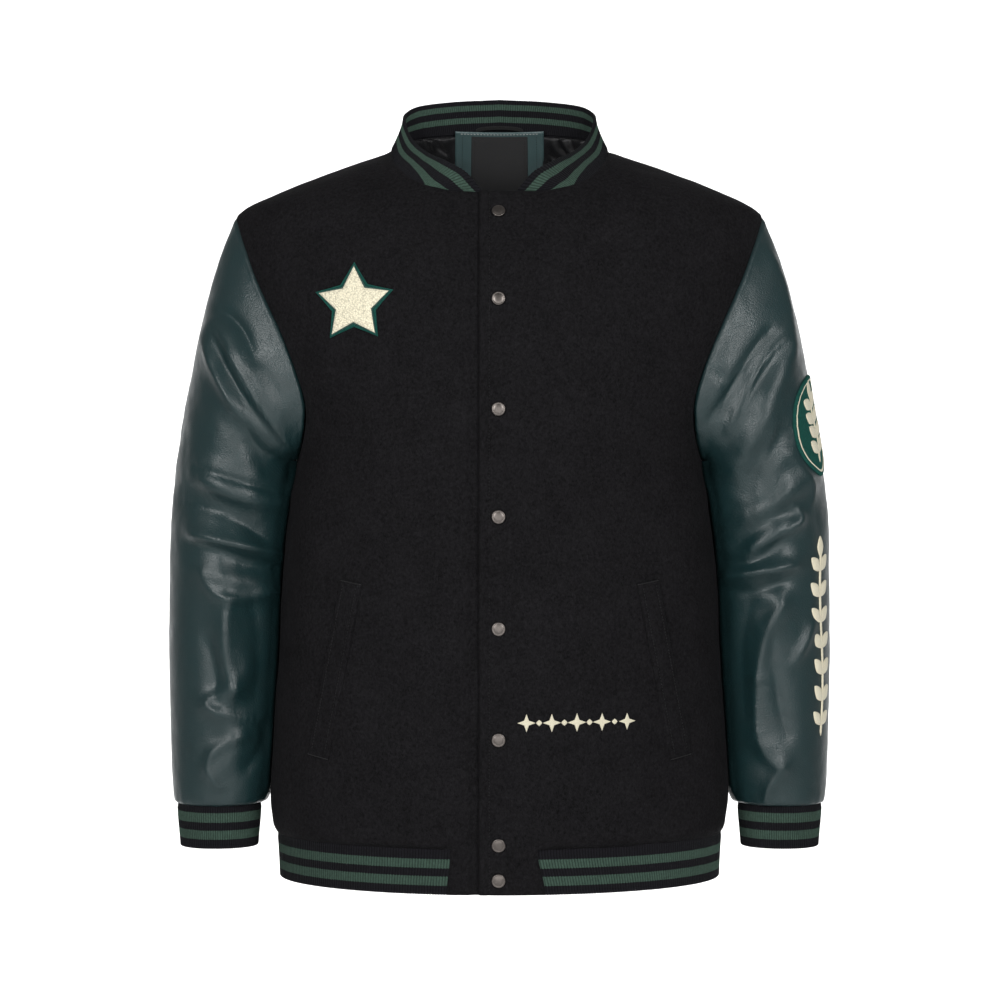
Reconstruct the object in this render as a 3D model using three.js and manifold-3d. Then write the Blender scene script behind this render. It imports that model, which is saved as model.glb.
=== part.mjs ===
// A men's varsity jacket, filled out as if worn, with nobody in it: black wool body, leather-look sleeves,
// striped rib collar, cuffs and hem, eight snaps down the front, two welt pockets and a chenille chest patch.
//
// Millimetres. +Z is up, +X is the wearer's left, +Y is the wearer's back. The origin is the middle of the neck
// opening, level with the points where the shoulder seams meet the collar, which is where the wearer carries it.
//
// Each piece is cut as a grid of points on its outer face and thickened inwards. Pieces that are sewn together
// share the points and the normals of their seam, and each stops half a seam gap short of it.

import * as THREE from "three";
import { mergeVertices } from "three/addons/utils/BufferGeometryUtils.js";
import Module from "manifold-3d";

const wasm = await Module();
wasm.setup();

// Driving sizes.
const SEAM_GAP = 0.32;
const WOOL = 2.2; // melton wool
const LEATHER = 1.8; // coated leather-look cloth
const RIB = 2.8; // rib knit, folded double
const COLLAR_RIB = 2.2;
const LINING = 1.0;
const FELT = 1.5;
const CHENILLE = 2.6;

const HEM_SEAM_Z = -722; // where the wool meets the hem rib
const HEM_Z = -768;
const CHEST_Z = -277; // above it the body rounds over into the shoulders
const DOME_POWER = 2.6; // how squarely the chest rounds over into the shoulders
const FRONT_DOME_Z = 0; // height where the front's dome would close
const BACK_DOME_Z = 60; // height where the back's dome would close
const BACK_NECK_RISE = 28; // the centre back neck stands above the side neck points
const NECK_LINE_Z = -58.5; // straight top edge of the two fronts

const ARMHOLE_TOP_Z = -70;
const ARMHOLE_BOTTOM_Z = -330;
const ARMHOLE_HALF_DEPTH = { front: 52, back: 50 }; // near the top
const ARMHOLE_FULLNESS = { front: 44, back: 40 }; // added towards the underarm

const FRONT_EDGE_X = 21; // each front passes the centre line by this much
const UNDERLAP_DIP = 3.5; // the under front lies this far below the upper one
const UNDERLAP = { startX: 34, fullX: 25 }; // from the centre line, on the under front's own side

// Half width and depths of the body by height.
const BODY_SECTIONS = [
  { z: -768, halfWidth: 233.5, front: 157, back: 148 },
  { z: -745, halfWidth: 234.5, front: 158, back: 149 },
  { z: -722, halfWidth: 236.5, front: 160, back: 151 },
  { z: -700, halfWidth: 241.5, front: 163.5, back: 154 },
  { z: -675, halfWidth: 243, front: 165.5, back: 156 },
  { z: -630, halfWidth: 240.5, front: 167, back: 157 },
  { z: -530, halfWidth: 234, front: 168, back: 157 },
  { z: -445, halfWidth: 230, front: 168, back: 157 },
  { z: -371, halfWidth: 221, front: 167, back: 156 },
  { z: -330, halfWidth: 214, front: 166, back: 155.5 },
  { z: -277, halfWidth: 223, front: 165, back: 155 },
  { z: -244, halfWidth: 237, front: 165, back: 155 },
  { z: -218, halfWidth: 248, front: 165, back: 155 },
  { z: -194, halfWidth: 257, front: 165, back: 155 },
  { z: -165, halfWidth: 267, front: 165, back: 155 },
  { z: -137, halfWidth: 274.5, front: 165, back: 155 },
  { z: -104, halfWidth: 279.5, front: 165, back: 155 },
  { z: -85, halfWidth: 281, front: 165, back: 155 },
  { z: -72, halfWidth: 280, front: 165, back: 155 },
  { z: -60, halfWidth: 267, front: 165, back: 155 },
  { z: -40, halfWidth: 221, front: 165, back: 155 },
  { z: -20, halfWidth: 169, front: 165, back: 155 },
  { z: 0, halfWidth: 116, front: 165, back: 155 },
  { z: 15, halfWidth: 108, front: 165, back: 155 },
  { z: 28, halfWidth: 104, front: 165, back: 155 },
];

// Rows from the shoulder tip to the side neck point: the height on the shoulder seam, the point of the front's
// neck edge that the row runs to, and the height it has at the centre back.
const SHOULDER_ROWS = [
  { ridgeZ: -70, neckX: -21, neckZ: -58.5, backZ: -57 },
  { ridgeZ: -52, neckX: 38, neckZ: -58.5, backZ: -43 },
  { ridgeZ: -41.5, neckX: 51.5, neckZ: -55.5, backZ: -29 },
  { ridgeZ: -31, neckX: 78, neckZ: -46, backZ: -15 },
  { ridgeZ: -21, neckX: 96, neckZ: -33.6, backZ: -1 },
  { ridgeZ: -10.3, neckX: 110, neckZ: -17, backZ: 13 },
  { ridgeZ: 0, neckX: 116, neckZ: 0, backZ: BACK_NECK_RISE },
];
const COLLAR_START_ROW = 2; // the collar begins at this row's neck point

// Sleeve sections, down the arm: the outer line, the line that faces the body, the middle's depth, the half depth.
const SLEEVE_SECTIONS = [
  { outerX: 279.5, outerZ: -70, innerX: 214, innerZ: -330, middleY: 0, halfDepth: 74 },
  { outerX: 294, outerZ: -104, innerX: 217.5, innerZ: -331, middleY: 0, halfDepth: 75 },
  { outerX: 308, outerZ: -148, innerX: 219.5, innerZ: -334, middleY: 3, halfDepth: 77 },
  { outerX: 319.5, outerZ: -194, innerX: 220, innerZ: -343, middleY: 8, halfDepth: 79 },
  { outerX: 331.5, outerZ: -254, innerX: 219, innerZ: -358, middleY: 13, halfDepth: 80 },
  { outerX: 343, outerZ: -318, innerX: 220, innerZ: -385, middleY: 18, halfDepth: 79 },
  { outerX: 351.5, outerZ: -390, innerX: 223, innerZ: -426, middleY: 22, halfDepth: 77 },
  { outerX: 353.5, outerZ: -460, innerX: 226, innerZ: -479, middleY: 24, halfDepth: 75 },
  { outerX: 354, outerZ: -530, innerX: 229, innerZ: -538, middleY: 24, halfDepth: 72 },
  { outerX: 352.5, outerZ: -600, innerX: 234, innerZ: -602, middleY: 22, halfDepth: 69 },
  { outerX: 350.5, outerZ: -655, innerX: 238, innerZ: -656, middleY: 18, halfDepth: 63 },
  { outerX: 346, outerZ: -690, innerX: 246, innerZ: -690, middleY: 12, halfDepth: 54 },
  { outerX: 341, outerZ: -696, innerX: 254.5, innerZ: -696, middleY: 10, halfDepth: 46 },
];
const CUFF_SECTIONS = [
  { z: -696, halfWidth: 43.25, halfDepth: 46 },
  { z: -712, halfWidth: 42, halfDepth: 44 },
  { z: -728, halfWidth: 40.5, halfDepth: 42.5 },
  { z: -741, halfWidth: 39.5, halfDepth: 41.5 },
];

// The collar's free edge, by share of the way from its front end (0) past the shoulder seam (0.5) to the back (1).
const COLLAR_EDGE = [
  { share: 0, x: 23, y: -108.5, z: -54 },
  { share: 0.05, x: 40, y: -95, z: -35 },
  { share: 0.11, x: 57, y: -74, z: -19 },
  { share: 0.21, x: 74, y: -47, z: -4 },
  { share: 0.34, x: 90, y: -15, z: 14 },
  { share: 0.5, x: 102, y: 13, z: 35 },
  { share: 0.6, x: 101, y: 36, z: 46 },
  { share: 0.72, x: 86, y: 58, z: 56 },
  { share: 0.86, x: 48, y: 73, z: 63 },
  { share: 1, x: 0, y: 78, z: 66 },
];
const COLLAR_BULGE = 2.5;

// Folds pressed into the sleeves, seen from the front or the back: a bent line of three points across the arm
// (x outwards from the centre line), its half width, and its height, which is negative for a trough.
const RIGHT_SLEEVE_FOLDS = [
  { x0: 300, z0: -188, x1: 256, z1: -240, x2: 220, z2: -312, width: 12, height: 7 },
  { x0: 308, z0: -200, x1: 272, z1: -272, x2: 232, z2: -322, width: 11, height: 6 },
  { x0: 272, z0: -296, x1: 246, z1: -326, x2: 226, z2: -344, width: 14, height: -6 },
  { x0: 312, z0: -340, x1: 282, z1: -357, x2: 240, z2: -370, width: 15, height: 6 },
  { x0: 322, z0: -364, x1: 280, z1: -378, x2: 254, z2: -398, width: 11, height: -5 },
  { x0: 322, z0: -404, x1: 284, z1: -413, x2: 238, z2: -430, width: 11, height: 7 },
  { x0: 276, z0: -436, x1: 256, z1: -440, x2: 238, z2: -442, width: 11, height: -6 },
  { x0: 310, z0: -447, x1: 276, z1: -456, x2: 246, z2: -464, width: 11, height: 4 },
  { x0: 290, z0: -480, x1: 282, z1: -520, x2: 278, z2: -566, width: 17, height: 4 },
  { x0: 266, z0: -546, x1: 282, z1: -574, x2: 306, z2: -588, width: 12, height: 5 },
  { x0: 304, z0: -590, x1: 276, z1: -622, x2: 300, z2: -656, width: 12, height: 4 },
];
const LEFT_SLEEVE_FOLDS = [
  { x0: 276, z0: -110, x1: 302, z1: -200, x2: 308, z2: -322, width: 14, height: 3 },
  { x0: 290, z0: -206, x1: 262, z1: -250, x2: 228, z2: -286, width: 12, height: -6 },
  { x0: 302, z0: -210, x1: 272, z1: -292, x2: 246, z2: -334, width: 13, height: 6 },
  { x0: 294, z0: -298, x1: 272, z1: -330, x2: 256, z2: -360, width: 11, height: -5 },
  { x0: 324, z0: -346, x1: 304, z1: -360, x2: 262, z2: -388, width: 13, height: 6 },
  { x0: 310, z0: -378, x1: 284, z1: -392, x2: 248, z2: -416, width: 10, height: -5 },
  { x0: 312, z0: -394, x1: 282, z1: -404, x2: 262, z2: -426, width: 11, height: 6 },
  { x0: 308, z0: -438, x1: 280, z1: -444, x2: 246, z2: -452, width: 12, height: 6 },
  { x0: 260, z0: -464, x1: 292, z1: -478, x2: 278, z2: -504, width: 12, height: 4 },
  { x0: 270, z0: -512, x1: 272, z1: -568, x2: 271, z2: -620, width: 17, height: 4 },
  { x0: 270, z0: -622, x1: 296, z1: -648, x2: 282, z2: -668, width: 12, height: 4 },
];
const BACK_SLEEVE_FOLDS = [
  { x0: 296, z0: -176, x1: 262, z1: -238, x2: 232, z2: -308, width: 14, height: 6 },
  { x0: 312, z0: -240, x1: 280, z1: -292, x2: 244, z2: -330, width: 13, height: -5 },
  { x0: 326, z0: -352, x1: 290, z1: -368, x2: 248, z2: -388, width: 15, height: 6 },
  { x0: 328, z0: -408, x1: 290, z1: -418, x2: 246, z2: -436, width: 13, height: 6 },
  { x0: 318, z0: -446, x1: 286, z1: -452, x2: 252, z2: -466, width: 12, height: -5 },
  { x0: 286, z0: -480, x1: 292, z1: -530, x2: 288, z2: -580, width: 18, height: 4 },
  { x0: 318, z0: -598, x1: 290, z1: -616, x2: 262, z2: -624, width: 13, height: 5 },
];

// Drape of the wool body: a soft vertical or slanting swell, by angle round the body from the left side seam.
const BODY_DRAPES = [
  { degrees: 32, z: -420, halfAngle: 9, halfHeight: 90, height: 3 },
  { degrees: 148, z: -430, halfAngle: 9, halfHeight: 95, height: 3 },
  { degrees: 60, z: -690, halfAngle: 10, halfHeight: 26, height: 2 },
  { degrees: 118, z: -692, halfAngle: 9, halfHeight: 24, height: 2 },
  { degrees: 222, z: -380, halfAngle: 10, halfHeight: 120, height: 4 },
  { degrees: 318, z: -390, halfAngle: 10, halfHeight: 115, height: 4 },
  { degrees: 246, z: -680, halfAngle: 10, halfHeight: 40, height: 3 },
  { degrees: 284, z: -684, halfAngle: 11, halfHeight: 36, height: 3 },
];

const LOWER_ROW_ZS = [-722, -700, -672, -630, -580, -525, -470, -415, -368];
const TAB_ROW_ZS = [-768, -753, -737];
const ARMHOLE_STEPS = 12;
const SIDE_COLUMNS = 9; // from the side seam to the edge of the front tab
const HALF_BACK_COLUMNS = 9;
const SLEEVE_ROWS = 28;
const COLLAR_ROWS = 3;
const RIB_ZS = [-722, -737, -753, -768];

// Each front's columns from the tab's edge to the front edge, and how far the tab's edge leans out at the hem.
const UPPER_FRONT = { stops: [38, 18, -1, -FRONT_EDGE_X], tabLean: 8, dip: 0 };
const UNDER_FRONT = { stops: [49.5, 34, 24.5, 1.5, -FRONT_EDGE_X], tabLean: 3.5, dip: UNDERLAP_DIP };

const SNAP_RADIUS = 7.5;
const SNAP_X = -1;
const SNAP_LIFT = 0.4; // clear of the faceted wool
const SNAP_SIDES = 12;
// Radius and height of a snap's cap, from the middle of its foot over its rim to its crown.
const SNAP_PROFILE = [
  { radius: 0, height: 0 },
  { radius: 6.5, height: 0 },
  { radius: SNAP_RADIUS, height: 0.7 },
  { radius: 6.9, height: 1.7 },
  { radius: 4.125, height: 2.5 },
  { radius: 0, height: 2.8 },
];
const SNAP_ZS = [-78, -169, -280, -388, -500, -611, -717, -753];

// The middles of a pocket welt's ends, and its size.
const WELT = { topX: 141, topZ: -455, bottomX: 183, bottomZ: -633, width: 22, thickness: 2, steps: 6 };

const PLATE_SIDES = 20; // sides of a patch's outline
const CHEST_PATCH = { x: -147, z: -172, radius: 43, starRadius: 38 };
const STAR_WAIST = 0.5; // radius of a star's inner corners, as a share of its tips'
const FELT_STAR = { share: 0.86, roundness: 0.1, border: 1 }; // the felt follows the star, blunter and wider
const SLEEVE_PATCH = { degrees: 29, row: 10.9, halfWidth: 38, halfHeight: 47 };
const SHIELD_POWER = { top: 3.2, bottom: 1.7 }; // how square the shield's top is, and how pointed its foot
const SLEEVE_EMBLEM = { from: -34, to: 34, pairs: 4, length: 24, half: 5.5 };
const SPRIG = { degrees: 40, startRow: 14.6, endRow: 22.4, leafPairs: 7, leafLength: 22, leafHalfWidth: 5 };
const STEM = { half: 1.6, sway: 2.5, share: 0.9, tipShare: 0.88 }; // shares of the sprig's length
const LEAF = { tilt: 48, firstShare: 0.35, rise: 0.2 };

// Strips inside the back of the neck: half width, upper and lower edge, and the clearance from what is below.
const NECK_PATCH = { half: 49, topZ: 17, bottomZ: -62, clearance: 1.1 };
const NECK_LABEL = { half: 32, topZ: 15, bottomZ: -52, clearance: 1 };
const NECK_STRIP_ROWS = 4;
const NECK_STRIP_COLUMNS = 6;

const COLOURS = {
  wool: "#1b1b1e",
  leather: "#2f4a4c",
  rib: "#1c1b1f",
  lining: "#17171a",
  metal: "#8a817c",
  cream: "#f0e8c8",
  felt: "#1f4a44",
  label: "#2a2a2c",
};

const smoothStep = THREE.MathUtils.smoothstep;
const lerp = THREE.MathUtils.lerp;
const radians = THREE.MathUtils.degToRad;
const vec = (x, y, z) => new THREE.Vector3(x, y, z);

// A smooth curve through a table's column, as a cubic between rows with the slope of their neighbours.
function smoothColumn(rows, key, column) {
  const slope = (i) => {
    const before = rows[Math.max(i - 1, 0)];
    const after = rows[Math.min(i + 1, rows.length - 1)];
    return (after[column] - before[column]) / (after[key] - before[key]);
  };
  return (at) => {
    const last = rows.length - 2;
    let i = 0;
    while (i < last && at > rows[i + 1][key]) i += 1;
    const span = rows[i + 1][key] - rows[i][key];
    const t = THREE.MathUtils.clamp((at - rows[i][key]) / span, 0, 1);
    const t2 = t * t;
    const t3 = t2 * t;
    return (
      (2 * t3 - 3 * t2 + 1) * rows[i][column] +
      (t3 - 2 * t2 + t) * span * slope(i) +
      (3 * t2 - 2 * t3) * rows[i + 1][column] +
      (t3 - t2) * span * slope(i + 1)
    );
  };
}

// The body's form: a ring at every height, with angle 0 at the left side, 90 at the front and 270 at the back.
const halfWidthAt = smoothColumn(BODY_SECTIONS, "z", "halfWidth");
const frontColumn = smoothColumn(BODY_SECTIONS, "z", "front");
const backColumn = smoothColumn(BODY_SECTIONS, "z", "back");

function domed(depth, z, closeZ) {
  if (z <= CHEST_Z) return depth;
  const share = Math.min((z - CHEST_Z) / (closeZ - CHEST_Z), 1);
  return depth * Math.sqrt(Math.max(1 - share ** DOME_POWER, 0));
}
const frontDepthAt = (z) => domed(frontColumn(z), z, FRONT_DOME_Z);
const backDepthAt = (z) => domed(backColumn(z), z, BACK_DOME_Z);

function drapeAt(angle, z) {
  const degrees = THREE.MathUtils.radToDeg(angle);
  return BODY_DRAPES.reduce((sum, d) => {
    const across = (degrees - d.degrees) / d.halfAngle;
    const along = (z - d.z) / d.halfHeight;
    return sum + d.height * Math.exp(-across * across - along * along);
  }, 0);
}

function bodyPoint(angle, z) {
  const sine = Math.sin(angle);
  const depth = sine >= 0 ? frontDepthAt(z) : backDepthAt(z);
  const point = vec(halfWidthAt(z) * Math.cos(angle), -depth * sine, z);
  const outwards = vec(point.x, point.y, 0).normalize();
  return point.addScaledVector(outwards, drapeAt(angle, z));
}
const frontAngleOfX = (x, z) => Math.acos(THREE.MathUtils.clamp(x / halfWidthAt(z), -1, 1));

// The armhole, an egg in side view that lies on the body: turn 0 is the shoulder tip and half a turn the underarm.
function armhole(turn, side) {
  const z = (ARMHOLE_TOP_Z + ARMHOLE_BOTTOM_Z) / 2 + ((ARMHOLE_TOP_Z - ARMHOLE_BOTTOM_Z) / 2) * Math.cos(turn);
  const halfDepth = ARMHOLE_HALF_DEPTH[side] + ARMHOLE_FULLNESS[side] * (0.5 - Math.cos(turn) / 2);
  const depth = side === "front" ? frontDepthAt(z) : backDepthAt(z);
  return { z, angle: Math.asin((halfDepth * Math.sin(turn)) / depth) };
}

// The rows of a body panel, from the hem seam up. Each gives the panel's edge at the side, armhole or shoulder.
function panelRows(side) {
  const rows = LOWER_ROW_ZS.map((z) => ({ angle: 0, edgeZ: z, frontX: -FRONT_EDGE_X, frontZ: z, backZ: z }));
  for (let j = 0; j <= ARMHOLE_STEPS; j += 1) {
    const { z, angle } = armhole(Math.PI * (1 - j / ARMHOLE_STEPS), side);
    const middleZ = lerp(ARMHOLE_BOTTOM_Z, NECK_LINE_Z, j / ARMHOLE_STEPS);
    rows.push({ angle, edgeZ: z, frontX: -FRONT_EDGE_X, frontZ: middleZ, backZ: middleZ });
  }
  SHOULDER_ROWS.slice(1).forEach((row, j) => {
    const share = (j + 1) / (SHOULDER_ROWS.length - 1);
    rows.push({ angle: 0, edgeZ: row.ridgeZ, frontX: row.neckX, frontZ: row.neckZ, backZ: row.backZ, share });
  });
  return rows;
}

// A piece of cloth: a grid of points on its outer face, from which the solid is thickened inwards.
class Cloth {
  constructor({ name, thickness, colour, points, flip = false, closed = false, cut = () => false }) {
    Object.assign(this, { name, thickness, colour, points, flip, closed, cut });
    this.rows = points.length;
    this.columns = points[0].length;
  }
  cells() {
    const found = [];
    const across = this.closed ? this.columns : this.columns - 1;
    for (let r = 0; r < this.rows - 1; r += 1)
      for (let c = 0; c < across; c += 1) {
        if (this.cut(r, c)) continue;
        const next = (c + 1) % this.columns;
        const ring = [
          [r, c],
          [r + 1, c],
          [r + 1, next],
          [r, next],
        ];
        found.push((this.flip ? ring.reverse() : ring).map(([i, j]) => i * this.columns + j));
      }
    return found;
  }
  flat() {
    return this.points.flat();
  }
}

const SAME_POINT = 0.02;
const keyOf = (p) => [p.x, p.y, p.z].map((v) => Math.round(v / SAME_POINT)).join(",");

// Outer-face normals of every piece that shares a point, so that both sides of a seam agree. Pieces that lie the
// same way at a corner count once.
const SAME_WAY = Math.cos(radians(25));
const seamDirections = new Map();
const seamNormal = (p) => seamDirections.get(keyOf(p)).reduce((sum, n) => sum.add(n), vec(0, 0, 0)).normalize();
function addNormals(cloth) {
  const points = cloth.flat();
  cloth.ownNormals = points.map(() => vec(0, 0, 0));
  for (const cell of cloth.cells()) {
    const [a, b, c, d] = cell.map((i) => points[i]);
    const normal = c.clone().sub(a).cross(d.clone().sub(b));
    cell.forEach((i) => cloth.ownNormals[i].add(normal));
  }
  const byPoint = new Map();
  points.forEach((p, i) => {
    const key = keyOf(p);
    byPoint.set(key, (byPoint.get(key) ?? vec(0, 0, 0)).add(cloth.ownNormals[i]));
  });
  cloth.ownNormals = points.map((p) => byPoint.get(keyOf(p)).clone().normalize());
  byPoint.forEach((sum, key) => {
    const normal = sum.clone().normalize();
    const others = seamDirections.get(key) ?? [];
    if (!others.some((other) => other.dot(normal) > SAME_WAY)) seamDirections.set(key, [...others, normal]);
  });
}

const SHARPEST_CORNER = 0.4;
// Moves each edge point of a piece half a seam gap into the piece, square to the seam's normal.
function insetEdges(cloth, cells, normals) {
  const points = cloth.flat();
  const uses = new Map();
  for (const cell of cells) {
    const middle = cell.reduce((sum, i) => sum.add(points[i]), vec(0, 0, 0)).divideScalar(cell.length);
    cell.forEach((i, n) => {
      const j = cell[(n + 1) % cell.length];
      const key = Math.min(i, j) + ":" + Math.max(i, j);
      if (uses.has(key)) uses.set(key, null);
      else uses.set(key, { i, j, middle });
    });
  }
  const pulls = new Map();
  for (const edge of uses.values()) {
    if (!edge) continue;
    const along = points[edge.j].clone().sub(points[edge.i]);
    if (along.length() < SAME_POINT) continue;
    along.normalize();
    for (const i of [edge.i, edge.j]) {
      const pull = edge.middle.clone().sub(points[i]);
      pull.addScaledVector(along, -pull.dot(along)).addScaledVector(normals[i], -pull.dot(normals[i]));
      pull.addScaledVector(along, -pull.dot(along)).normalize();
      const key = keyOf(points[i]);
      pulls.set(key, [...(pulls.get(key) ?? []), pull]);
    }
  }
  return points.map((p, i) => {
    const found = pulls.get(keyOf(p));
    if (!found) return p.clone();
    const [first, second = first] = found;
    const inset = first.clone().add(second).divideScalar(Math.max(1 + first.dot(second), SHARPEST_CORNER));
    inset.addScaledVector(normals[i], -inset.dot(normals[i]));
    return p.clone().addScaledVector(inset, SEAM_GAP / 2);
  });
}

const WELD = 1e-3;
function solidGeometry(positions, triangles) {
  const geometry = new THREE.BufferGeometry();
  geometry.setAttribute("position", new THREE.Float32BufferAttribute(positions, 3));
  geometry.setIndex(triangles);
  const merged = mergeVertices(geometry, WELD);
  const index = merged.getIndex().array;
  const kept = [];
  for (let i = 0; i < index.length; i += 3) {
    const [a, b, c] = [index[i], index[i + 1], index[i + 2]];
    if (a !== b && b !== c && c !== a) kept.push(a, b, c);
  }
  merged.setIndex(kept);
  return merged;
}

const DIAGONAL_ORDER = vec(1, 1.37, 0.61);
// Closes outer and inner points of a set of four-sided cells into one solid.
function wallGeometry(outer, inner, cells) {
  const count = outer.length;
  const triangles = [];
  const quad = (a, b, c, d) => triangles.push(a, b, c, a, c, d);
  const edges = new Map();
  for (const [a, b, c, d] of cells) {
    quad(a, b, c, d);
    quad(a + count, d + count, c + count, b + count);
    for (const [i, j] of [
      [a, b],
      [b, c],
      [c, d],
      [d, a],
    ])
      if (!edges.delete(j + ":" + i)) edges.set(i + ":" + j, [i, j]);
  }
  // Both sides of a seam split their end faces along the same diagonal, so that the faces stay parallel.
  const order = (p) => p.dot(DIAGONAL_ORDER);
  for (const [i, j] of edges.values())
    if (order(outer[i]) < order(outer[j])) quad(j, i, i + count, j + count);
    else quad(i, i + count, j + count, j);
  const positions = [...outer, ...inner].flatMap((p) => [p.x, p.y, p.z]);
  return solidGeometry(positions, triangles);
}

const STEEPEST_MITRE = 0.8;
function clothMesh(cloth) {
  const cells = cloth.cells();
  const points = cloth.flat();
  const normals = points.map(seamNormal);
  const outer = insetEdges(cloth, cells, normals);
  const inner = outer.map((p, i) => {
    const lean = Math.max(normals[i].dot(cloth.ownNormals[i]), STEEPEST_MITRE);
    return p.clone().addScaledVector(normals[i], -cloth.thickness / lean);
  });
  return namedMesh(cloth.name, wallGeometry(outer, inner, cells), cloth.colour);
}

function namedMesh(name, geometry, colour, { metalness = 0, roughness = 0.85 } = {}) {
  const material = new THREE.MeshStandardMaterial({ color: COLOURS[colour], metalness, roughness });
  const mesh = new THREE.Mesh(geometry, material);
  mesh.name = name;
  return mesh;
}

// One front. side is 1 for the wearer's left, which lies on top, and -1 for the right.
function frontPoint(side, cut, row, column) {
  const guideColumn = SIDE_COLUMNS;
  const lastColumn = SIDE_COLUMNS + cut.stops.length - 1;
  const share = column / lastColumn;
  const z = lerp(row.edgeZ, row.frontZ, share);
  const endAngle = frontAngleOfX(row.frontX, row.frontZ);
  let angle;
  if (row.share !== undefined) {
    angle = lerp(row.angle, endAngle, share);
  } else {
    const tabShare = smoothStep(HEM_SEAM_Z - z, 0, HEM_SEAM_Z - HEM_Z);
    const guideX = cut.stops[0] + cut.tabLean * tabShare;
    const guideAngle = frontAngleOfX(guideX, z);
    if (column <= guideColumn) angle = lerp(row.angle, guideAngle, column / guideColumn);
    else angle = frontAngleOfX(cut.stops[column - guideColumn], z);
  }
  const point = bodyPoint(side > 0 ? angle : Math.PI - angle, z);
  const ownX = side * point.x;
  const under = smoothStep(-ownX, -UNDERLAP.startX, -UNDERLAP.fullX) * cut.dip;
  point.y += under;
  return point;
}

function frontPanel(name, side, cut) {
  const tabRows = TAB_ROW_ZS.map((z) => ({ angle: 0, edgeZ: z, frontX: -FRONT_EDGE_X, frontZ: z }));
  const rows = [...tabRows, ...panelRows("front")];
  const lastColumn = SIDE_COLUMNS + cut.stops.length - 1;
  const points = rows.map((row) =>
    Array.from({ length: lastColumn + 1 }, (_, column) => frontPoint(side, cut, row, column)),
  );
  return new Cloth({
    name,
    thickness: WOOL,
    colour: "wool",
    points,
    flip: side < 0,
    cut: (r, c) => r < TAB_ROW_ZS.length && c < SIDE_COLUMNS,
  });
}

const NECK_ROUNDNESS = 0.6; // the back's top edge: 1 would be a sine, less is fuller
function backAngleAndHeight(row, column) {
  const fromLeft = column <= HALF_BACK_COLUMNS;
  const share = (fromLeft ? column : 2 * HALF_BACK_COLUMNS - column) / HALF_BACK_COLUMNS;
  const quarter = lerp(row.angle, Math.PI / 2, share);
  const roundness = row.share === undefined ? 1 : lerp(1, NECK_ROUNDNESS, row.share);
  const rise = row.share === undefined ? share : Math.sin(quarter) ** roundness;
  const z = lerp(row.edgeZ, row.backZ, rise);
  return { angle: fromLeft ? 2 * Math.PI - quarter : Math.PI + quarter, z };
}

function backPanel() {
  const points = panelRows("back").map((row) =>
    Array.from({ length: 2 * HALF_BACK_COLUMNS + 1 }, (_, column) => {
      const { angle, z } = backAngleAndHeight(row, column);
      return bodyPoint(angle, z);
    }),
  );
  return new Cloth({ name: "back", thickness: WOOL, colour: "wool", points, flip: true });
}

const FOLD_STEPS = 12; // along a fold's line
const FOLD_TAPER = 1.5; // steps past each end of the line at which the fold runs out
const FOLD_FACING = { from: 0.05, full: 0.55 }; // folds start just past the arm's sides
const FOLD_START = 1.2; // sections from the armhole to a fold's full height
const FOLD_END = { from: 11, to: 11.8 }; // sections over which folds run out above the cuff
// Height of the folds at a point of a sleeve. facing is 1 at the front of the arm, -1 at the back, 0 at its sides.
function foldHeight(folds, x, z, facing) {
  return folds.reduce((sum, fold) => {
    const line = new THREE.QuadraticBezierCurve(
      new THREE.Vector2(fold.x0, fold.z0),
      new THREE.Vector2(2 * fold.x1 - (fold.x0 + fold.x2) / 2, 2 * fold.z1 - (fold.z0 + fold.z2) / 2),
      new THREE.Vector2(fold.x2, fold.z2),
    );
    const here = new THREE.Vector2(x, z);
    let nearest = Infinity;
    let taper = 0;
    for (let i = 0; i <= FOLD_STEPS; i += 1) {
      const distance = line.getPoint(i / FOLD_STEPS).distanceTo(here);
      if (distance < nearest) {
        nearest = distance;
        taper = Math.sin((Math.PI * (i + FOLD_TAPER)) / (FOLD_STEPS + 2 * FOLD_TAPER));
      }
    }
    const across = nearest / fold.width;
    const height = fold.height * Math.sqrt(taper) * Math.exp(-across * across);
    return sum + height * smoothStep(facing, FOLD_FACING.from, FOLD_FACING.full);
  }, 0);
}

const sleeveRows = SLEEVE_SECTIONS.map((row, at) => ({ ...row, at }));
const sleeveColumn = (column) => smoothColumn(sleeveRows, "at", column);
const sleeveLine = {
  outerX: sleeveColumn("outerX"),
  outerZ: sleeveColumn("outerZ"),
  innerX: sleeveColumn("innerX"),
  innerZ: sleeveColumn("innerZ"),
  middleY: sleeveColumn("middleY"),
  halfDepth: sleeveColumn("halfDepth"),
};

// The plain tube of a sleeve, at a turn round the arm (0 outside, a quarter at the front) and a section number.
function sleeveTube(turn, at) {
  const outer = vec(sleeveLine.outerX(at), 0, sleeveLine.outerZ(at));
  const inner = vec(sleeveLine.innerX(at), 0, sleeveLine.innerZ(at));
  const middle = outer.clone().add(inner).divideScalar(2);
  return middle
    .addScaledVector(outer.sub(inner), Math.cos(turn) / 2)
    .add(vec(0, sleeveLine.middleY(at) - sleeveLine.halfDepth(at) * Math.sin(turn), 0));
}

// Where the armhole is at that turn, on the wearer's left.
function armholePoint(turn) {
  const fore = turn <= Math.PI;
  const { angle, z } = armhole(fore ? turn : 2 * Math.PI - turn, fore ? "front" : "back");
  return bodyPoint(fore ? angle : 2 * Math.PI - angle, z);
}

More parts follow.
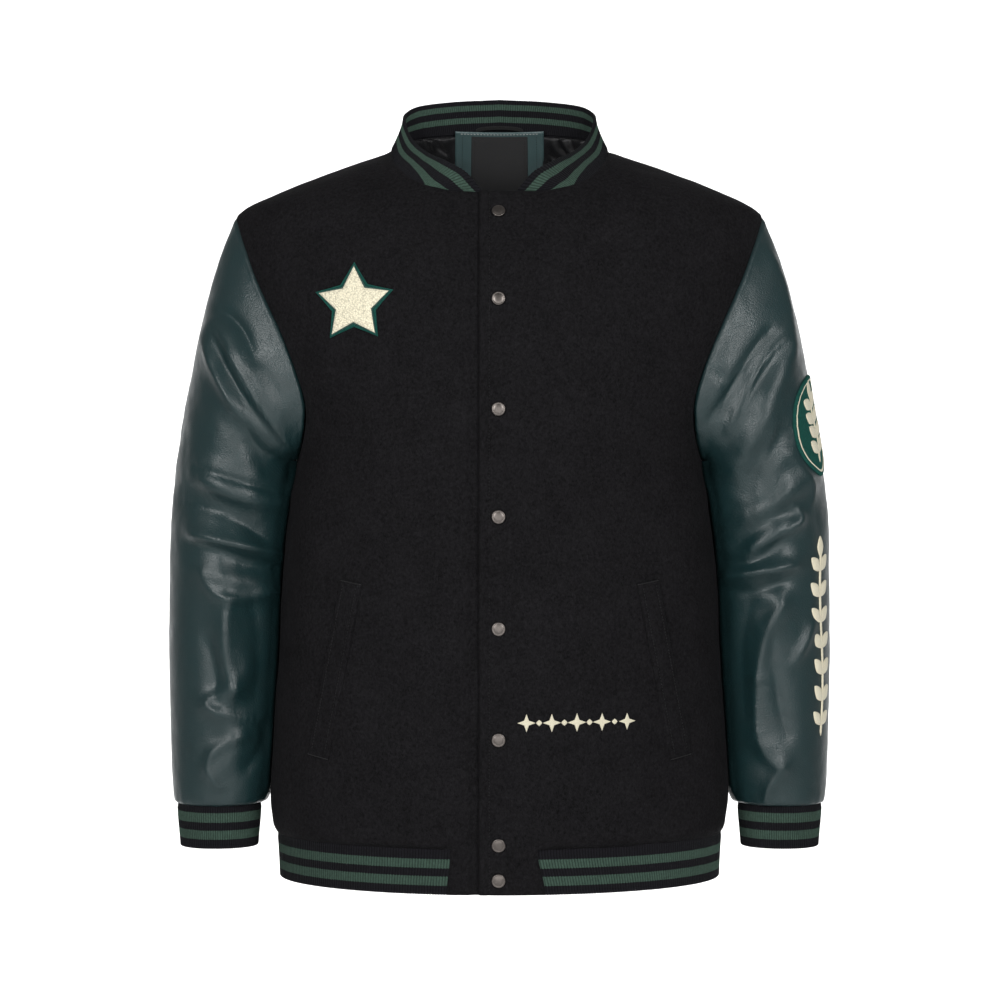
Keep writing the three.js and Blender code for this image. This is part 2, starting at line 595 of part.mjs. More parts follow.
// Below the armhole a sleeve lies flat against the side of the body, just clear of it.
const ARM_CLEARANCE = 2.4;
function pressed(point) {
  if (point.z > ARMHOLE_BOTTOM_Z) return point;
  const depth = point.y < 0 ? frontDepthAt(point.z) : backDepthAt(point.z);
  const side = halfWidthAt(point.z) * Math.sqrt(1 - (point.y / depth) ** 2) + ARM_CLEARANCE;
  point.x = Math.max(point.x, side);
  return point;
}

const ARMHOLE_REACH = 4.2; // sections over which the armhole's own shape fades into the round tube
const SMALL_STEP = 0.01; // of a turn or a section, for a slope
const MIDDLE_SECTION = 6; // past it slopes are taken up the arm, so that they stay on the table
function sleevePoint(turn, at, folds) {
  const plain = (t, a) => {
    const fade = 1 - smoothStep(a, 0, ARMHOLE_REACH);
    const shift = armholePoint(t).sub(sleeveTube(t, 0)).multiplyScalar(fade);
    return sleeveTube(t, a).add(shift);
  };
  const here = plain(turn, at);
  const d = SMALL_STEP;
  const down = at > MIDDLE_SECTION ? -1 : 1;
  const around = plain((turn + d) % (2 * Math.PI), at).sub(here);
  const along = plain(turn, at + down * d).sub(here).multiplyScalar(down);
  const normal = around.cross(along).normalize();
  const facing = Math.sin(turn);
  const height =
    facing >= 0
      ? foldHeight(folds, here.x, here.z, facing)
      : foldHeight(BACK_SLEEVE_FOLDS, here.x, here.z, -facing);
  const ends = smoothStep(at, 0, FOLD_START) * (1 - smoothStep(at, FOLD_END.from, FOLD_END.to));
  return pressed(here.addScaledVector(normal, height * ends));
}

const mirrored = (p, side) => vec(side * p.x, p.y, p.z);
const SLEEVE_STEPS = 2 * ARMHOLE_STEPS;

function sleeve(name, side, folds) {
  const points = Array.from({ length: SLEEVE_ROWS + 1 }, (_, r) =>
    Array.from({ length: SLEEVE_STEPS }, (_, c) => {
      const turn = (2 * Math.PI * c) / SLEEVE_STEPS;
      const at = (r / SLEEVE_ROWS) * (SLEEVE_SECTIONS.length - 1);
      return mirrored(r === 0 ? armholePoint(turn) : sleevePoint(turn, at, folds), side);
    }),
  );
  return new Cloth({ name, thickness: LEATHER, colour: "leather", points, closed: true, flip: side > 0 });
}

function cuff(name, side) {
  const end = SLEEVE_SECTIONS[SLEEVE_SECTIONS.length - 1];
  const middleX = (end.outerX + end.innerX) / 2;
  const points = CUFF_SECTIONS.map((row) =>
    Array.from({ length: SLEEVE_STEPS }, (_, c) => {
      const turn = (2 * Math.PI * c) / SLEEVE_STEPS;
      const x = middleX + row.halfWidth * Math.cos(turn);
      return mirrored(vec(x, end.middleY - row.halfDepth * Math.sin(turn), row.z), side);
    }),
  );
  return new Cloth({ name, thickness: RIB, colour: "rib", points, closed: true, flip: side > 0 });
}

// The hem rib runs from the left tab round the back to the right tab, under the edges of the three panels.
function hemRib() {
  const row = (z) => ({ angle: 0, edgeZ: z, frontX: -FRONT_EDGE_X, frontZ: z, backZ: z });
  const points = RIB_ZS.map((z) => {
    const left = Array.from({ length: SIDE_COLUMNS }, (_, c) =>
      frontPoint(1, UPPER_FRONT, row(z), SIDE_COLUMNS - c),
    );
    const back = Array.from({ length: 2 * HALF_BACK_COLUMNS + 1 }, (_, c) => {
      const { angle } = backAngleAndHeight(row(z), c);
      return bodyPoint(angle, z);
    });
    const right = Array.from({ length: SIDE_COLUMNS }, (_, c) => frontPoint(-1, UNDER_FRONT, row(z), c + 1));
    return [...left, ...back, ...right];
  });
  return new Cloth({ name: "hem_rib", thickness: RIB, colour: "rib", points });
}

// The collar stands on the neck edges of the three panels and leans in to its own free edge.
const collarEdge = {
  x: smoothColumn(COLLAR_EDGE, "share", "x"),
  y: smoothColumn(COLLAR_EDGE, "share", "y"),
  z: smoothColumn(COLLAR_EDGE, "share", "z"),
};
function neckLine(left, back, right) {
  const firstRow = (panel) => panel.rows - SHOULDER_ROWS.length + COLLAR_START_ROW;
  const leftEdge = left.points.slice(firstRow(left)).map((row) => row[row.length - 1]);
  const rightEdge = right.points.slice(firstRow(right)).map((row) => row[row.length - 1]);
  const backEdge = back.points[back.rows - 1];
  return [...leftEdge.slice(0, -1), ...backEdge, ...rightEdge.slice(0, -1).reverse()];
}
function collarShares(line) {
  const lengths = [0];
  for (let i = 1; i < line.length; i += 1) lengths.push(lengths[i - 1] + line[i].distanceTo(line[i - 1]));
  const shoulder = SHOULDER_ROWS.length - 1 - COLLAR_START_ROW;
  const middle = (line.length - 1) / 2;
  return lengths.map((length, i) => {
    const half = i <= middle ? length : lengths[lengths.length - 1] - length;
    const front = lengths[shoulder];
    const rest = lengths[middle] - front;
    return half <= front ? (0.5 * half) / front : 0.5 + (0.5 * (half - front)) / rest;
  });
}
function collar(line) {
  const shares = collarShares(line);
  const middle = (line.length - 1) / 2;
  const points = Array.from({ length: COLLAR_ROWS + 1 }, (_, r) =>
    line.map((foot, i) => {
      const side = i <= middle ? 1 : -1;
      const top = vec(side * collarEdge.x(shares[i]), collarEdge.y(shares[i]), collarEdge.z(shares[i]));
      const share = r / COLLAR_ROWS;
      const outwards = vec(foot.x, foot.y, 0).normalize();
      return foot
        .clone()
        .lerp(top, share)
        .addScaledVector(outwards, COLLAR_BULGE * Math.sin(Math.PI * share));
    }),
  );
  return new Cloth({ name: "collar_rib", thickness: COLLAR_RIB, colour: "rib", points, flip: true });
}

// Something laid on cloth: a map gives the cloth's point for a place (across, up) in millimetres, and the piece
// stands on it from one lift to another along the normal there.
const SURFACE_STEP = 1;
function onSurface(surface, across, up) {
  const here = surface(across, up);
  const du = surface(across + SURFACE_STEP, up).sub(here);
  const dv = surface(across, up + SURFACE_STEP).sub(here);
  return { point: here, normal: du.cross(dv).normalize() };
}
function lifted(surface, across, up, lift) {
  const { point, normal } = onSurface(surface, across, up);
  return point.addScaledVector(normal, lift);
}

// A strip along a list of places, each with a half width across the strip.
function stripGeometry(surface, places, low, high, hands = [-1, 0, 1]) {
  const outer = [];
  const inner = [];
  places.forEach((place, i) => {
    const before = places[Math.max(i - 1, 0)];
    const after = places[Math.min(i + 1, places.length - 1)];
    const run = new THREE.Vector2(after.across - before.across, after.up - before.up).normalize();
    for (const hand of hands) {
      const across = place.across + hand * run.y * place.half;
      const up = place.up - hand * run.x * place.half;
      outer.push(lifted(surface, across, up, high));
      inner.push(lifted(surface, across, up, low));
    }
  });
  const cells = [];
  const wide = hands.length;
  for (let i = 0; i < places.length - 1; i += 1)
    for (let n = i * wide; n < (i + 1) * wide - 1; n += 1) cells.push([n, n + 1, n + 1 + wide, n + wide]);
  return wallGeometry(outer, inner, cells);
}

// A flat shape with an outline given as a radius by turn, in rings from its middle out.
function plateGeometry(surface, middle, radiusAt, ringShares, low, high) {
  const steps = PLATE_SIDES;
  const outer = [];
  const inner = [];
  ringShares.forEach((share) => {
    for (let i = 0; i < steps; i += 1) {
      const turn = (2 * Math.PI * i) / steps;
      const radius = radiusAt(turn) * share;
      const across = middle.across + radius * Math.sin(turn);
      const up = middle.up + radius * Math.cos(turn);
      outer.push(lifted(surface, across, up, high));
      inner.push(lifted(surface, across, up, low));
    }
  });
  const cells = [];
  for (let ring = 0; ring < ringShares.length - 1; ring += 1)
    for (let i = 0; i < steps; i += 1) {
      const next = (i + 1) % steps;
      cells.push([ring * steps + i, ring * steps + next, (ring + 1) * steps + next, (ring + 1) * steps + i]);
    }
  return wallGeometry(outer, inner, cells);
}

// Outline of a five-pointed star.
function starRadius(radius) {
  const half = Math.PI / 5;
  const waist = radius * STAR_WAIST;
  return (turn) => {
    const angle = Math.abs(((turn + half) % (2 * half)) - half);
    return (radius * waist * Math.sin(half)) / (radius * Math.sin(angle) + waist * Math.sin(half - angle));
  };
}
function feltStarRadius(radius) {
  const { share, roundness, border } = FELT_STAR;
  return (turn) => starRadius(radius)(turn) * share + border + radius * roundness;
}

// The outside of the fronts at a place seen from the front.
function frontSurface(x, z) {
  return bodyPoint(frontAngleOfX(x, z), z);
}

// The outside of the left sleeve round a middle line: across goes from the back of the arm to the front.
const SLEEVE_RADIUS = 68;
function leftSleeveSurface(degrees) {
  return (across, row) => {
    const turn = (radians(degrees) - across / SLEEVE_RADIUS + 2 * Math.PI) % (2 * Math.PI);
    const at = (row / SLEEVE_ROWS) * (SLEEVE_SECTIONS.length - 1);
    return sleevePoint(turn, at, LEFT_SLEEVE_FOLDS);
  };
}
const ROW_LENGTH = 24.5; // of a sleeve row, down the outside of the arm
function sleevePlace(degrees, row) {
  const surface = leftSleeveSurface(degrees);
  return (across, up) => surface(across, row - up / ROW_LENGTH);
}

const LIFT = 0.9; // clear of the faceted wool below
const SLEEVE_PATCH_LIFT = 1;
const SPRIG_LIFT = 0.6;
function chestPatch() {
  const { x, z, radius, starRadius: chenille } = CHEST_PATCH;
  const middle = { across: x, up: z };
  const shares = [0.04, 0.5, 1];
  const felt = plateGeometry(frontSurface, middle, feltStarRadius(radius), shares, LIFT, LIFT + FELT);
  const low = LIFT + FELT + SEAM_GAP;
  const star = plateGeometry(frontSurface, middle, starRadius(chenille), shares, low, low + CHENILLE);
  return [namedMesh("chest_patch_felt", felt, "felt"), namedMesh("chest_patch_star", star, "cream")];
}

// A round-shouldered shield for the sleeve.
function shieldRadius(halfWidth, halfHeight) {
  return (turn) => {
    const squareness = Math.cos(turn) >= 0 ? SHIELD_POWER.top : SHIELD_POWER.bottom;
    const x = Math.abs(Math.sin(turn)) / halfWidth;
    const y = Math.abs(Math.cos(turn)) / halfHeight;
    return (x ** squareness + y ** squareness) ** (-1 / squareness);
  };
}
function sleevePatch() {
  const { degrees, row, halfWidth, halfHeight } = SLEEVE_PATCH;
  const surface = sleevePlace(degrees, row);
  const middle = { across: 0, up: 0 };
  const shares = [0.04, 0.36, 0.68, 1];
  const lift = SLEEVE_PATCH_LIFT;
  const felt = plateGeometry(surface, middle, shieldRadius(halfWidth, halfHeight), shares, lift, lift + FELT);
  const low = lift + FELT + SEAM_GAP;
  const emblem = sprigGeometry(surface, SLEEVE_EMBLEM, low, low + FELT);
  return [namedMesh("sleeve_patch_felt", felt, "felt"), namedMesh("sleeve_patch_leaves", emblem, "cream")];
}

// A stem with pairs of leaves and one at its tip, joined into one piece.
function manifoldOf(geometry) {
  const mesh = new wasm.Mesh({
    numProp: 3,
    vertProperties: geometry.getAttribute("position").array,
    triVerts: new Uint32Array(geometry.getIndex().array),
  });
  return new wasm.Manifold(mesh);
}
function geometryOf(manifold) {
  const mesh = manifold.getMesh();
  return solidGeometry(Array.from(mesh.vertProperties), Array.from(mesh.triVerts));
}
const LEAF_SHAPE = [
  { at: 0, half: 0.35 },
  { at: 0.35, half: 1 },
  { at: 0.7, half: 0.75 },
  { at: 1, half: 0.1 },
];
function sprigGeometry(surface, { from, to, pairs, length, half }, low, high) {
  const sway = (share) => STEM.sway * Math.sin(share * Math.PI * 2);
  const steps = 2 * pairs;
  const stem = Array.from({ length: steps + 1 }, (_, i) => {
    const share = i / steps;
    return { across: sway(share), up: lerp(from, to, share * STEM.share), half: STEM.half };
  });
  let sprig = manifoldOf(stripGeometry(surface, stem, low, high, [-1, 1]));
  const leaf = (across, up, tilt) => {
    const places = LEAF_SHAPE.map((point) => ({
      across: across + Math.sin(tilt) * length * point.at,
      up: up + Math.cos(tilt) * length * point.at,
      half: half * point.half,
    }));
    sprig = sprig.add(manifoldOf(stripGeometry(surface, places, low + LEAF.rise, high + LEAF.rise, [-1, 1])));
  };
  for (let pair = 0; pair < pairs; pair += 1) {
    const share = (pair + LEAF.firstShare) / pairs;
    for (const hand of [-1, 1]) leaf(sway(share), lerp(from, to, share * STEM.share), hand * radians(LEAF.tilt));
  }
  leaf(sway(1), lerp(from, to, STEM.tipShare), 0);
  return geometryOf(sprig);
}
function sleeveSprig() {
  const { degrees, startRow, endRow, leafPairs, leafLength, leafHalfWidth } = SPRIG;
  const middleRow = (startRow + endRow) / 2;
  const reach = ((endRow - startRow) / 2) * ROW_LENGTH;
  const surface = sleevePlace(degrees, middleRow);
  const shape = { from: -reach, to: reach, pairs: leafPairs, length: leafLength, half: leafHalfWidth };
  return namedMesh("sleeve_sprig", sprigGeometry(surface, shape, SPRIG_LIFT, SPRIG_LIFT + FELT), "cream");
}

// A welt pocket on one front, a slanting band with square ends.
function welt(name, side) {
  const { steps } = WELT;
  const places = Array.from({ length: steps + 1 }, (_, i) => ({
    across: side * lerp(WELT.topX, WELT.bottomX, i / steps),
    up: lerp(WELT.topZ, WELT.bottomZ, i / steps),
    half: WELT.width / 2,
  }));
  const geometry = stripGeometry(frontSurface, places, LIFT, LIFT + WELT.thickness);
  return namedMesh(name, geometry, "wool");
}

// A snap's domed cap on its foot, turned to the cloth below it.
function snap(name, z) {
  const profile = SNAP_PROFILE.map(({ radius, height }) => new THREE.Vector2(radius, height));
  const geometry = new THREE.LatheGeometry(profile, SNAP_SIDES);
  geometry.deleteAttribute("uv");
  geometry.deleteAttribute("normal");
  const { point, normal } = onSurface(frontSurface, SNAP_X, z);
  const mesh = namedMesh(name, geometry, "metal", { metalness: 0.9, roughness: 0.35 });
  mesh.quaternion.setFromUnitVectors(vec(0, 1, 0), normal);
  mesh.position.copy(point.addScaledVector(normal, SNAP_LIFT));
  return mesh;
}

// The lining of the upper back, which shows through the neck, hangs just inside the wool.
const LINING_CLEARANCE = 1.3;
const LINING_MARGIN = 2; // columns of the back that it stops short of each armhole
const LINING_DROP = 0.35; // share of a row that its top edge stays below the collar seam
function backLining(back) {
  const firstRow = LOWER_ROW_ZS.length;
  const lastRow = back.rows - 1;
  const rows = [];
  for (let r = firstRow; r <= lastRow; r += 1) {
    const row = [];
    for (let c = LINING_MARGIN; c < back.columns - LINING_MARGIN; c += 1) row.push(r * back.columns + c);
    rows.push(row);
  }
  const points = back.flat();
  const depth = WOOL + LINING_CLEARANCE;
  const inside = (i) => points[i].clone().addScaledVector(back.ownNormals[i], -depth);
  const place = (i, isTop) => (isTop ? inside(i).lerp(inside(i - back.columns), LINING_DROP) : inside(i));
  const grid = rows.map((row, r) => row.map((i) => place(i, r === rows.length - 1)));
  return new Cloth({ name: "back_lining", thickness: LINING, colour: "lining", points: grid, flip: true });
}

// Pieces inside the back of the neck, on the lining: a leather-look patch and a plain label on it.
function backFromInside(x, z) {
  return bodyPoint(2 * Math.PI - frontAngleOfX(x, z), z);
}
function neckStrip(name, { half, topZ, bottomZ }, depth, colour) {
  const outer = [];
  const inner = [];
  for (let i = 0; i <= NECK_STRIP_ROWS; i += 1)
    for (let c = 0; c <= NECK_STRIP_COLUMNS; c += 1) {
      const across = lerp(-half, half, c / NECK_STRIP_COLUMNS);
      const { point, normal } = onSurface(backFromInside, across, lerp(topZ, bottomZ, i / NECK_STRIP_ROWS));
      const outwards = normal.y > 0 ? normal : normal.negate();
      outer.push(point.clone().addScaledVector(outwards, -depth));
      inner.push(point.clone().addScaledVector(outwards, -depth - LINING));
    }
  const wide = NECK_STRIP_COLUMNS + 1;
  const cells = [];
  for (let i = 0; i < NECK_STRIP_ROWS; i += 1)
    for (let n = i * wide; n < (i + 1) * wide - 1; n += 1) cells.push([n, n + 1, n + 1 + wide, n + wide]);
  return namedMesh(name, wallGeometry(outer, inner, cells), colour);
}
function neckPieces() {
  const patchDepth = WOOL + LINING_CLEARANCE + LINING + NECK_PATCH.clearance;
  const labelDepth = patchDepth + LINING + NECK_LABEL.clearance;
  return [
    neckStrip("neck_patch", NECK_PATCH, patchDepth, "leather"),
    neckStrip("neck_label", NECK_LABEL, labelDepth, "label"),
  ];
}

const leftFront = frontPanel("front_left", 1, UPPER_FRONT);
const rightFront = frontPanel("front_right", -1, UNDER_FRONT);
const back = backPanel();
const leftSleeve = sleeve("sleeve_left", 1, LEFT_SLEEVE_FOLDS);
const rightSleeve = sleeve("sleeve_right", -1, RIGHT_SLEEVE_FOLDS);
const sewn = [
  leftFront,
  rightFront,
  back,
  leftSleeve,
  rightSleeve,
  cuff("cuff_left", 1),
  cuff("cuff_right", -1),
  hemRib(),
  collar(neckLine(leftFront, back, rightFront)),
];
sewn.forEach(addNormals);
const lining = backLining(back);
addNormals(lining);

const jacket = new THREE.Group();
jacket.add(...sewn.map(clothMesh), clothMesh(lining));
jacket.add(...neckPieces(), ...chestPatch(), ...sleevePatch(), sleeveSprig());
jacket.add(welt("pocket_welt_left", 1), welt("pocket_welt_right", -1));
SNAP_ZS.forEach((z, i) => jacket.add(snap("snap_" + (i + 1), z)));

export default jacket;
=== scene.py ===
"""A varsity jacket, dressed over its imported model.

Lengths in the tables are millimetres in the model's own frame: +X to the wearer's left, +Y to the wearer's
back, +Z up, and the middle of the neck opening at the origin. Meshes are in metres.
"""

import math

import bmesh
import bpy
import numpy as np
from mathutils import Matrix, Vector, kdtree, noise


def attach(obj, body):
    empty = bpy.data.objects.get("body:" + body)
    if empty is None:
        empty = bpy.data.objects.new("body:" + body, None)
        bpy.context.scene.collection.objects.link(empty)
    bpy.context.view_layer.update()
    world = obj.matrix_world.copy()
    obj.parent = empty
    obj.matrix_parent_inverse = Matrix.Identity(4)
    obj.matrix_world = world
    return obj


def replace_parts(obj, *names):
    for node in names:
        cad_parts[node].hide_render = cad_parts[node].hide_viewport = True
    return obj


bl_info = {
    "name": "Varsity Jacket",
    "version": (1, 0, 0),
    "blender": (4, 5, 0),
    "location": "3D View > Sidebar > Jacket",
    "description": "Builds the wool, leather-look, rib, lining, patches and snaps of a varsity jacket",
    "category": "Object",
}

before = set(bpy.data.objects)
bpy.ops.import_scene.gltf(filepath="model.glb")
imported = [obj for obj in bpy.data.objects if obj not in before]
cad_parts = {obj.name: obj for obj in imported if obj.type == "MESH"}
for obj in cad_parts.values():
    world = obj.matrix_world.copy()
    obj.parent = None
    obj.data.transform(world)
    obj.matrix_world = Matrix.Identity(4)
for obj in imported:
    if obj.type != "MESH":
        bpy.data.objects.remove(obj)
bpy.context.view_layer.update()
MM = 0.001
TAU = 2 * math.pi


def table(names, *rows):
    """Rows of a table as named columns."""
    return dict(zip(names.split(), np.array(rows, float).T))


# Sizes shared by the pieces

HEM_SEAM_Z, HEM_Z = -722.0, -768.0
CHEST_Z, DOME_POWER = -277.0, 2.6
FRONT_DOME_Z, BACK_DOME_Z, BACK_NECK_RISE = 0.0, 60.0, 28.0
NECK_LINE_Z = -55.0
ARMHOLE_TOP_Z, ARMHOLE_BOTTOM_Z = -70.0, -330.0
ARMHOLE_ROWS, SHOULDER_ROWS = 72, 48
ARMHOLE = {"front": (52.0, 44.0), "back": (50.0, 40.0)}  # half depth near the top, fullness added below
FRONT_EDGE_X = 21.0
UNDERLAP_DIP, UNDERLAP_START_X, UNDERLAP_FULL_X = 3.5, 34.0, 25.0
NECK_POINT_X = 116.0  # where the shoulder seam meets the collar
COLLAR_START_X = 51.5
LEVEL_TOP_X = 38.0  # nearer the middle the fronts' top edge is level

BODY = table(
    "z half_width front back",
    (-768, 233.5, 157, 148),
    (-745, 234.5, 158, 149),
    (-722, 236.5, 160, 151),
    (-700, 241.5, 163.5, 154),
    (-675, 243, 165.5, 156),
    (-630, 240.5, 167, 157),
    (-530, 234, 168, 157),
    (-445, 230, 168, 157),
    (-371, 221, 167, 156),
    (-330, 214, 166, 155.5),
    (-277, 223, 165, 155),
    (-244, 237, 165, 155),
    (-218, 248, 165, 155),
    (-194, 257, 165, 155),
    (-165, 267, 165, 155),
    (-137, 274.5, 165, 155),
    (-104, 279.5, 165, 155),
    (-85, 281, 165, 155),
    (-72, 280, 165, 155),
    (-60, 267, 165, 155),
    (-40, 221, 165, 155),
    (-20, 169, 165, 155),
    (0, 116, 165, 155),
    (15, 108, 165, 155),
    (28, 104, 165, 155),
)
SHOULDER = table(
    "ridge_z neck_x neck_z back_z",
    (-70, -21, -55, -55),
    (-52, 38, -55, -43),
    (-41.5, 51.5, -53, -29),
    (-31, 78, -45, -15),
    (-21, 96, -33.6, -1),
    (-10.3, 110, -17, 13),
    (0, 116, 0, BACK_NECK_RISE),
)
SHOULDER_STEPS = len(SHOULDER["ridge_z"]) - 1
SLEEVE = table(
    "outer_x outer_z inner_x inner_z middle_y half_depth",
    (279.5, -70, 214, -330, 0, 74),
    (294, -104, 217.5, -331, 0, 75),
    (308, -148, 219.5, -334, 3, 77),
    (319.5, -194, 220, -343, 8, 79),
    (331.5, -254, 219, -358, 13, 80),
    (343, -318, 220, -385, 18, 79),
    (351.5, -390, 223, -426, 22, 77),
    (353.5, -460, 226, -479, 24, 75),
    (354, -530, 229, -538, 24, 72),
    (352.5, -600, 234, -602, 22, 69),
    (350.5, -655, 238, -656, 18, 63),
    (347, -687, 246, -687, 12, 54),
    (343, -692.5, 254.5, -692.5, 10, 46),
)
SLEEVE["at"] = np.arange(len(SLEEVE["outer_x"]), dtype=float)
SLEEVE_END = SLEEVE["at"][-1]
CUFF = table(
    "z half_width half_depth",
    (-692.5, 44.5, 46),
    (-709, 43.5, 44),
    (-725, 42, 42.5),
    (-738, 41, 41.5),
)
COLLAR_EDGE = table(
    "share x y z",
    (0, 14.5, -108.7, -52),
    (0.05, 32, -100, -35.5),
    (0.11, 54, -77, -20.5),
    (0.21, 74, -47, -8),
    (0.34, 91, -15, 9.5),
    (0.5, 102, 13, 35),
    (0.6, 101, 36, 46),
    (0.72, 86, 58, 56),
    (0.86, 48, 73, 63),
    (1, 0, 78, 66),
)
COLLAR_BULGE = -0.8
SEAM_ALLOWANCE = 3.0  # what is tucked under the next piece at a seam

# Big folds of the sleeves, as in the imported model, and the finer creases between them. Each is a line across
# the arm, bent through three points, with a half width and a height.
FOLD_COLUMNS = "x0 z0 x1 z1 x2 z2 width height"
RIGHT_FOLDS = table(
    FOLD_COLUMNS,
    (300, -188, 256, -240, 220, -312, 12, 7),
    (308, -200, 272, -272, 232, -322, 11, 6),
    (272, -296, 246, -326, 226, -344, 14, -6),
    (312, -340, 282, -357, 240, -370, 15, 6),
    (322, -364, 280, -378, 254, -398, 11, -5),
    (322, -404, 284, -413, 238, -430, 11, 7),
    (276, -436, 256, -440, 238, -442, 11, -6),
    (310, -447, 276, -456, 246, -464, 11, 4),
    (290, -480, 282, -520, 278, -566, 17, 4),
    (266, -546, 282, -574, 306, -588, 12, 5),
    (304, -590, 276, -622, 300, -656, 12, 4),
)
RIGHT_CREASES = table(
    FOLD_COLUMNS,
    (294, -173, 269, -192, 256, -225, 6, -4),
    (308, -205, 292, -244, 266, -288, 6, 3.5),
    (296, -200, 278, -244, 244, -293, 6, -4),
    (280, -218, 257, -261, 221, -310, 6, 4.5),
    (264, -283, 251, -315, 218, -336, 7, -3.5),
    (317, -337, 275, -350, 227, -365, 4, -3.5),
    (310, -352, 275, -369, 229, -376, 7, 3),
    (336, -374, 285, -388, 247, -410, 8, -4.5),
    (321, -408, 275, -417, 220, -433, 5, 4.5),
    (326, -415, 275, -429, 223, -444, 7, -3),
    (309, -446, 285, -473, 228, -464, 7, 4.7),
    (282, -475, 288, -527, 278, -570, 7, 4.7),
    (306, -516, 296, -558, 303, -587, 8, -3.9),
    (279, -568, 304, -587, 253, -602, 6, 4.7),
    (269, -618, 303, -641, 294, -672, 6, 4.7),
    (253, -602, 247, -625, 263, -651, 7, -3.9),
    (286, -452, 285, -500, 280, -566, 13, 3.5),
    (262, -470, 252, -520, 256, -580, 11, -3.5),
)
LEFT_FOLDS = table(
    FOLD_COLUMNS,
    (276, -110, 302, -200, 308, -322, 14, 3),
    (290, -206, 262, -250, 228, -286, 12, -6),
    (302, -210, 272, -292, 246, -334, 13, 6),
    (294, -298, 272, -330, 256, -360, 11, -5),
    (324, -346, 304, -360, 262, -388, 13, 6),
    (310, -378, 284, -392, 248, -416, 10, -5),
    (312, -394, 282, -404, 262, -426, 11, 6),
    (308, -438, 280, -444, 246, -452, 12, 6),
    (260, -464, 292, -478, 278, -504, 12, 4),
    (270, -512, 272, -568, 271, -620, 17, 4),
    (270, -622, 296, -648, 282, -668, 12, 4),
)
LEFT_CREASES = table(
    FOLD_COLUMNS,
    (283, -106, 301, -163, 303, -219, 6, 3),
    (295, -203, 263, -247, 237, -298, 6, 4),
    (281, -194, 252, -234, 231, -280, 6, -3.5),
    (287, -291, 279, -315, 273, -339, 6, 2.5),
    (215, -235, 227, -242, 233, -252, 4, -3),
    (247, -245, 233, -265, 218, -287, 5, -3),
    (303, -324, 325, -352, 327, -374, 5, 3),
    (291, -353, 281, -369, 252, -383, 7, -3),
    (306, -378, 310, -395, 265, -421, 5, 4),
    (298, -402, 271, -433, 237, -435, 7, -3.5),
    (306, -439, 277, -444, 239, -451, 6, 6),
    (302, -454, 275, -464, 246, -467, 6, -4.5),
    (293, -481, 279, -516, 271, -558, 7, 4.8),
    (271, -562, 275, -624, 295, -651, 7, 4.5),
    (286, -516, 289, -568, 302, -615, 8, -3.8),
    (329, -501, 320, -522, 309, -541, 6, 3.8),
    (295, -651, 283, -672, 279, -689, 6, 3.8),
    (296, -470, 290, -520, 284, -566, 13, 3),
    (262, -480, 254, -530, 258, -590, 11, -3.5),
)
BACK_FOLDS = table(
    FOLD_COLUMNS,
    (296, -176, 262, -238, 232, -308, 14, 6),
    (312, -240, 280, -292, 244, -330, 13, -5),
    (326, -352, 290, -368, 248, -388, 15, 6),
    (328, -408, 290, -418, 246, -436, 13, 6),
    (318, -446, 286, -452, 252, -466, 12, -5),
    (286, -480, 292, -530, 288, -580, 18, 4),
    (318, -598, 290, -616, 262, -624, 13, 5),
)
BACK_CREASES = table(
    FOLD_COLUMNS,
    (300, -190, 270, -250, 238, -318, 5, 2.2),
    (322, -354, 290, -366, 252, -384, 5, 2.4),
    (326, -412, 288, -420, 250, -438, 5, 2.6),
    (312, -440, 284, -446, 254, -458, 5, -2.4),
    (316, -600, 292, -612, 264, -620, 5, 2.2),
    (300, -640, 284, -656, 290, -676, 5, 1.6),
)
BODY_DRAPES = table(
    "degrees z half_angle half_height height",
    (32, -420, 9, 90, 3),
    (148, -430, 9, 95, 3),
    (60, -690, 10, 26, 2),
    (118, -692, 9, 24, 2),
    (222, -380, 10, 120, 4),
    (318, -390, 10, 115, 4),
    (246, -680, 10, 40, 3),
    (284, -684, 11, 36, 3),
)

# Places in x of the columns in each front's lap, and how far the tab's edge leans out at its foot
UPPER_STOPS, UPPER_LEAN = (38.0, 18.0, -1.0, -FRONT_EDGE_X), 8.0
UNDER_STOPS, UNDER_LEAN = (49.5, 34.0, 24.5, 1.5, -FRONT_EDGE_X), 3.5
SIDE_COLUMNS = 9

# How many columns, rows and steps of points the cloth has
FRONT_COLUMNS, LAP_COLUMNS, BACK_COLUMNS = 61, 25, 121
SLEEVE_COLUMNS, SLEEVE_ROWS = 157, 231
LOWER_ROW_HEIGHT, NECK_STEPS = 4.6, 240
COLLAR_COLUMNS, COLLAR_ROWS = 1250, 11
CUFF_COLUMNS, HEM_COLUMNS, BAND_ROWS = 541, 1601, 9
FOLD_STEPS = 9
NECK_STRIP_COLUMNS = 41
WELD_DISTANCE = 1e-6

SNAP_ZS = (-78, -169, -280, -388, -500, -611, -717, -753)
SNAP_X = -1.0
SNAP_DENT_RADIUS, SNAP_LIFT = 9.0, 0.4

# Share of each band's width, from the seam to the folded edge, where black and green change over.
COLLAR_STRIPES = (0.24, 0.43, 0.655, 0.865)
COLLAR_WIDTH = 33.0
CUFF_STRIPES = (0.165, 0.39, 0.575, 0.8)
HEM_STRIPES = (0.22, 0.42, 0.6, 0.82)


# Small sums


def smooth_step(value, low, high):
    share = np.clip((value - low) / (high - low), 0, 1)
    return share * share * (3 - 2 * share)


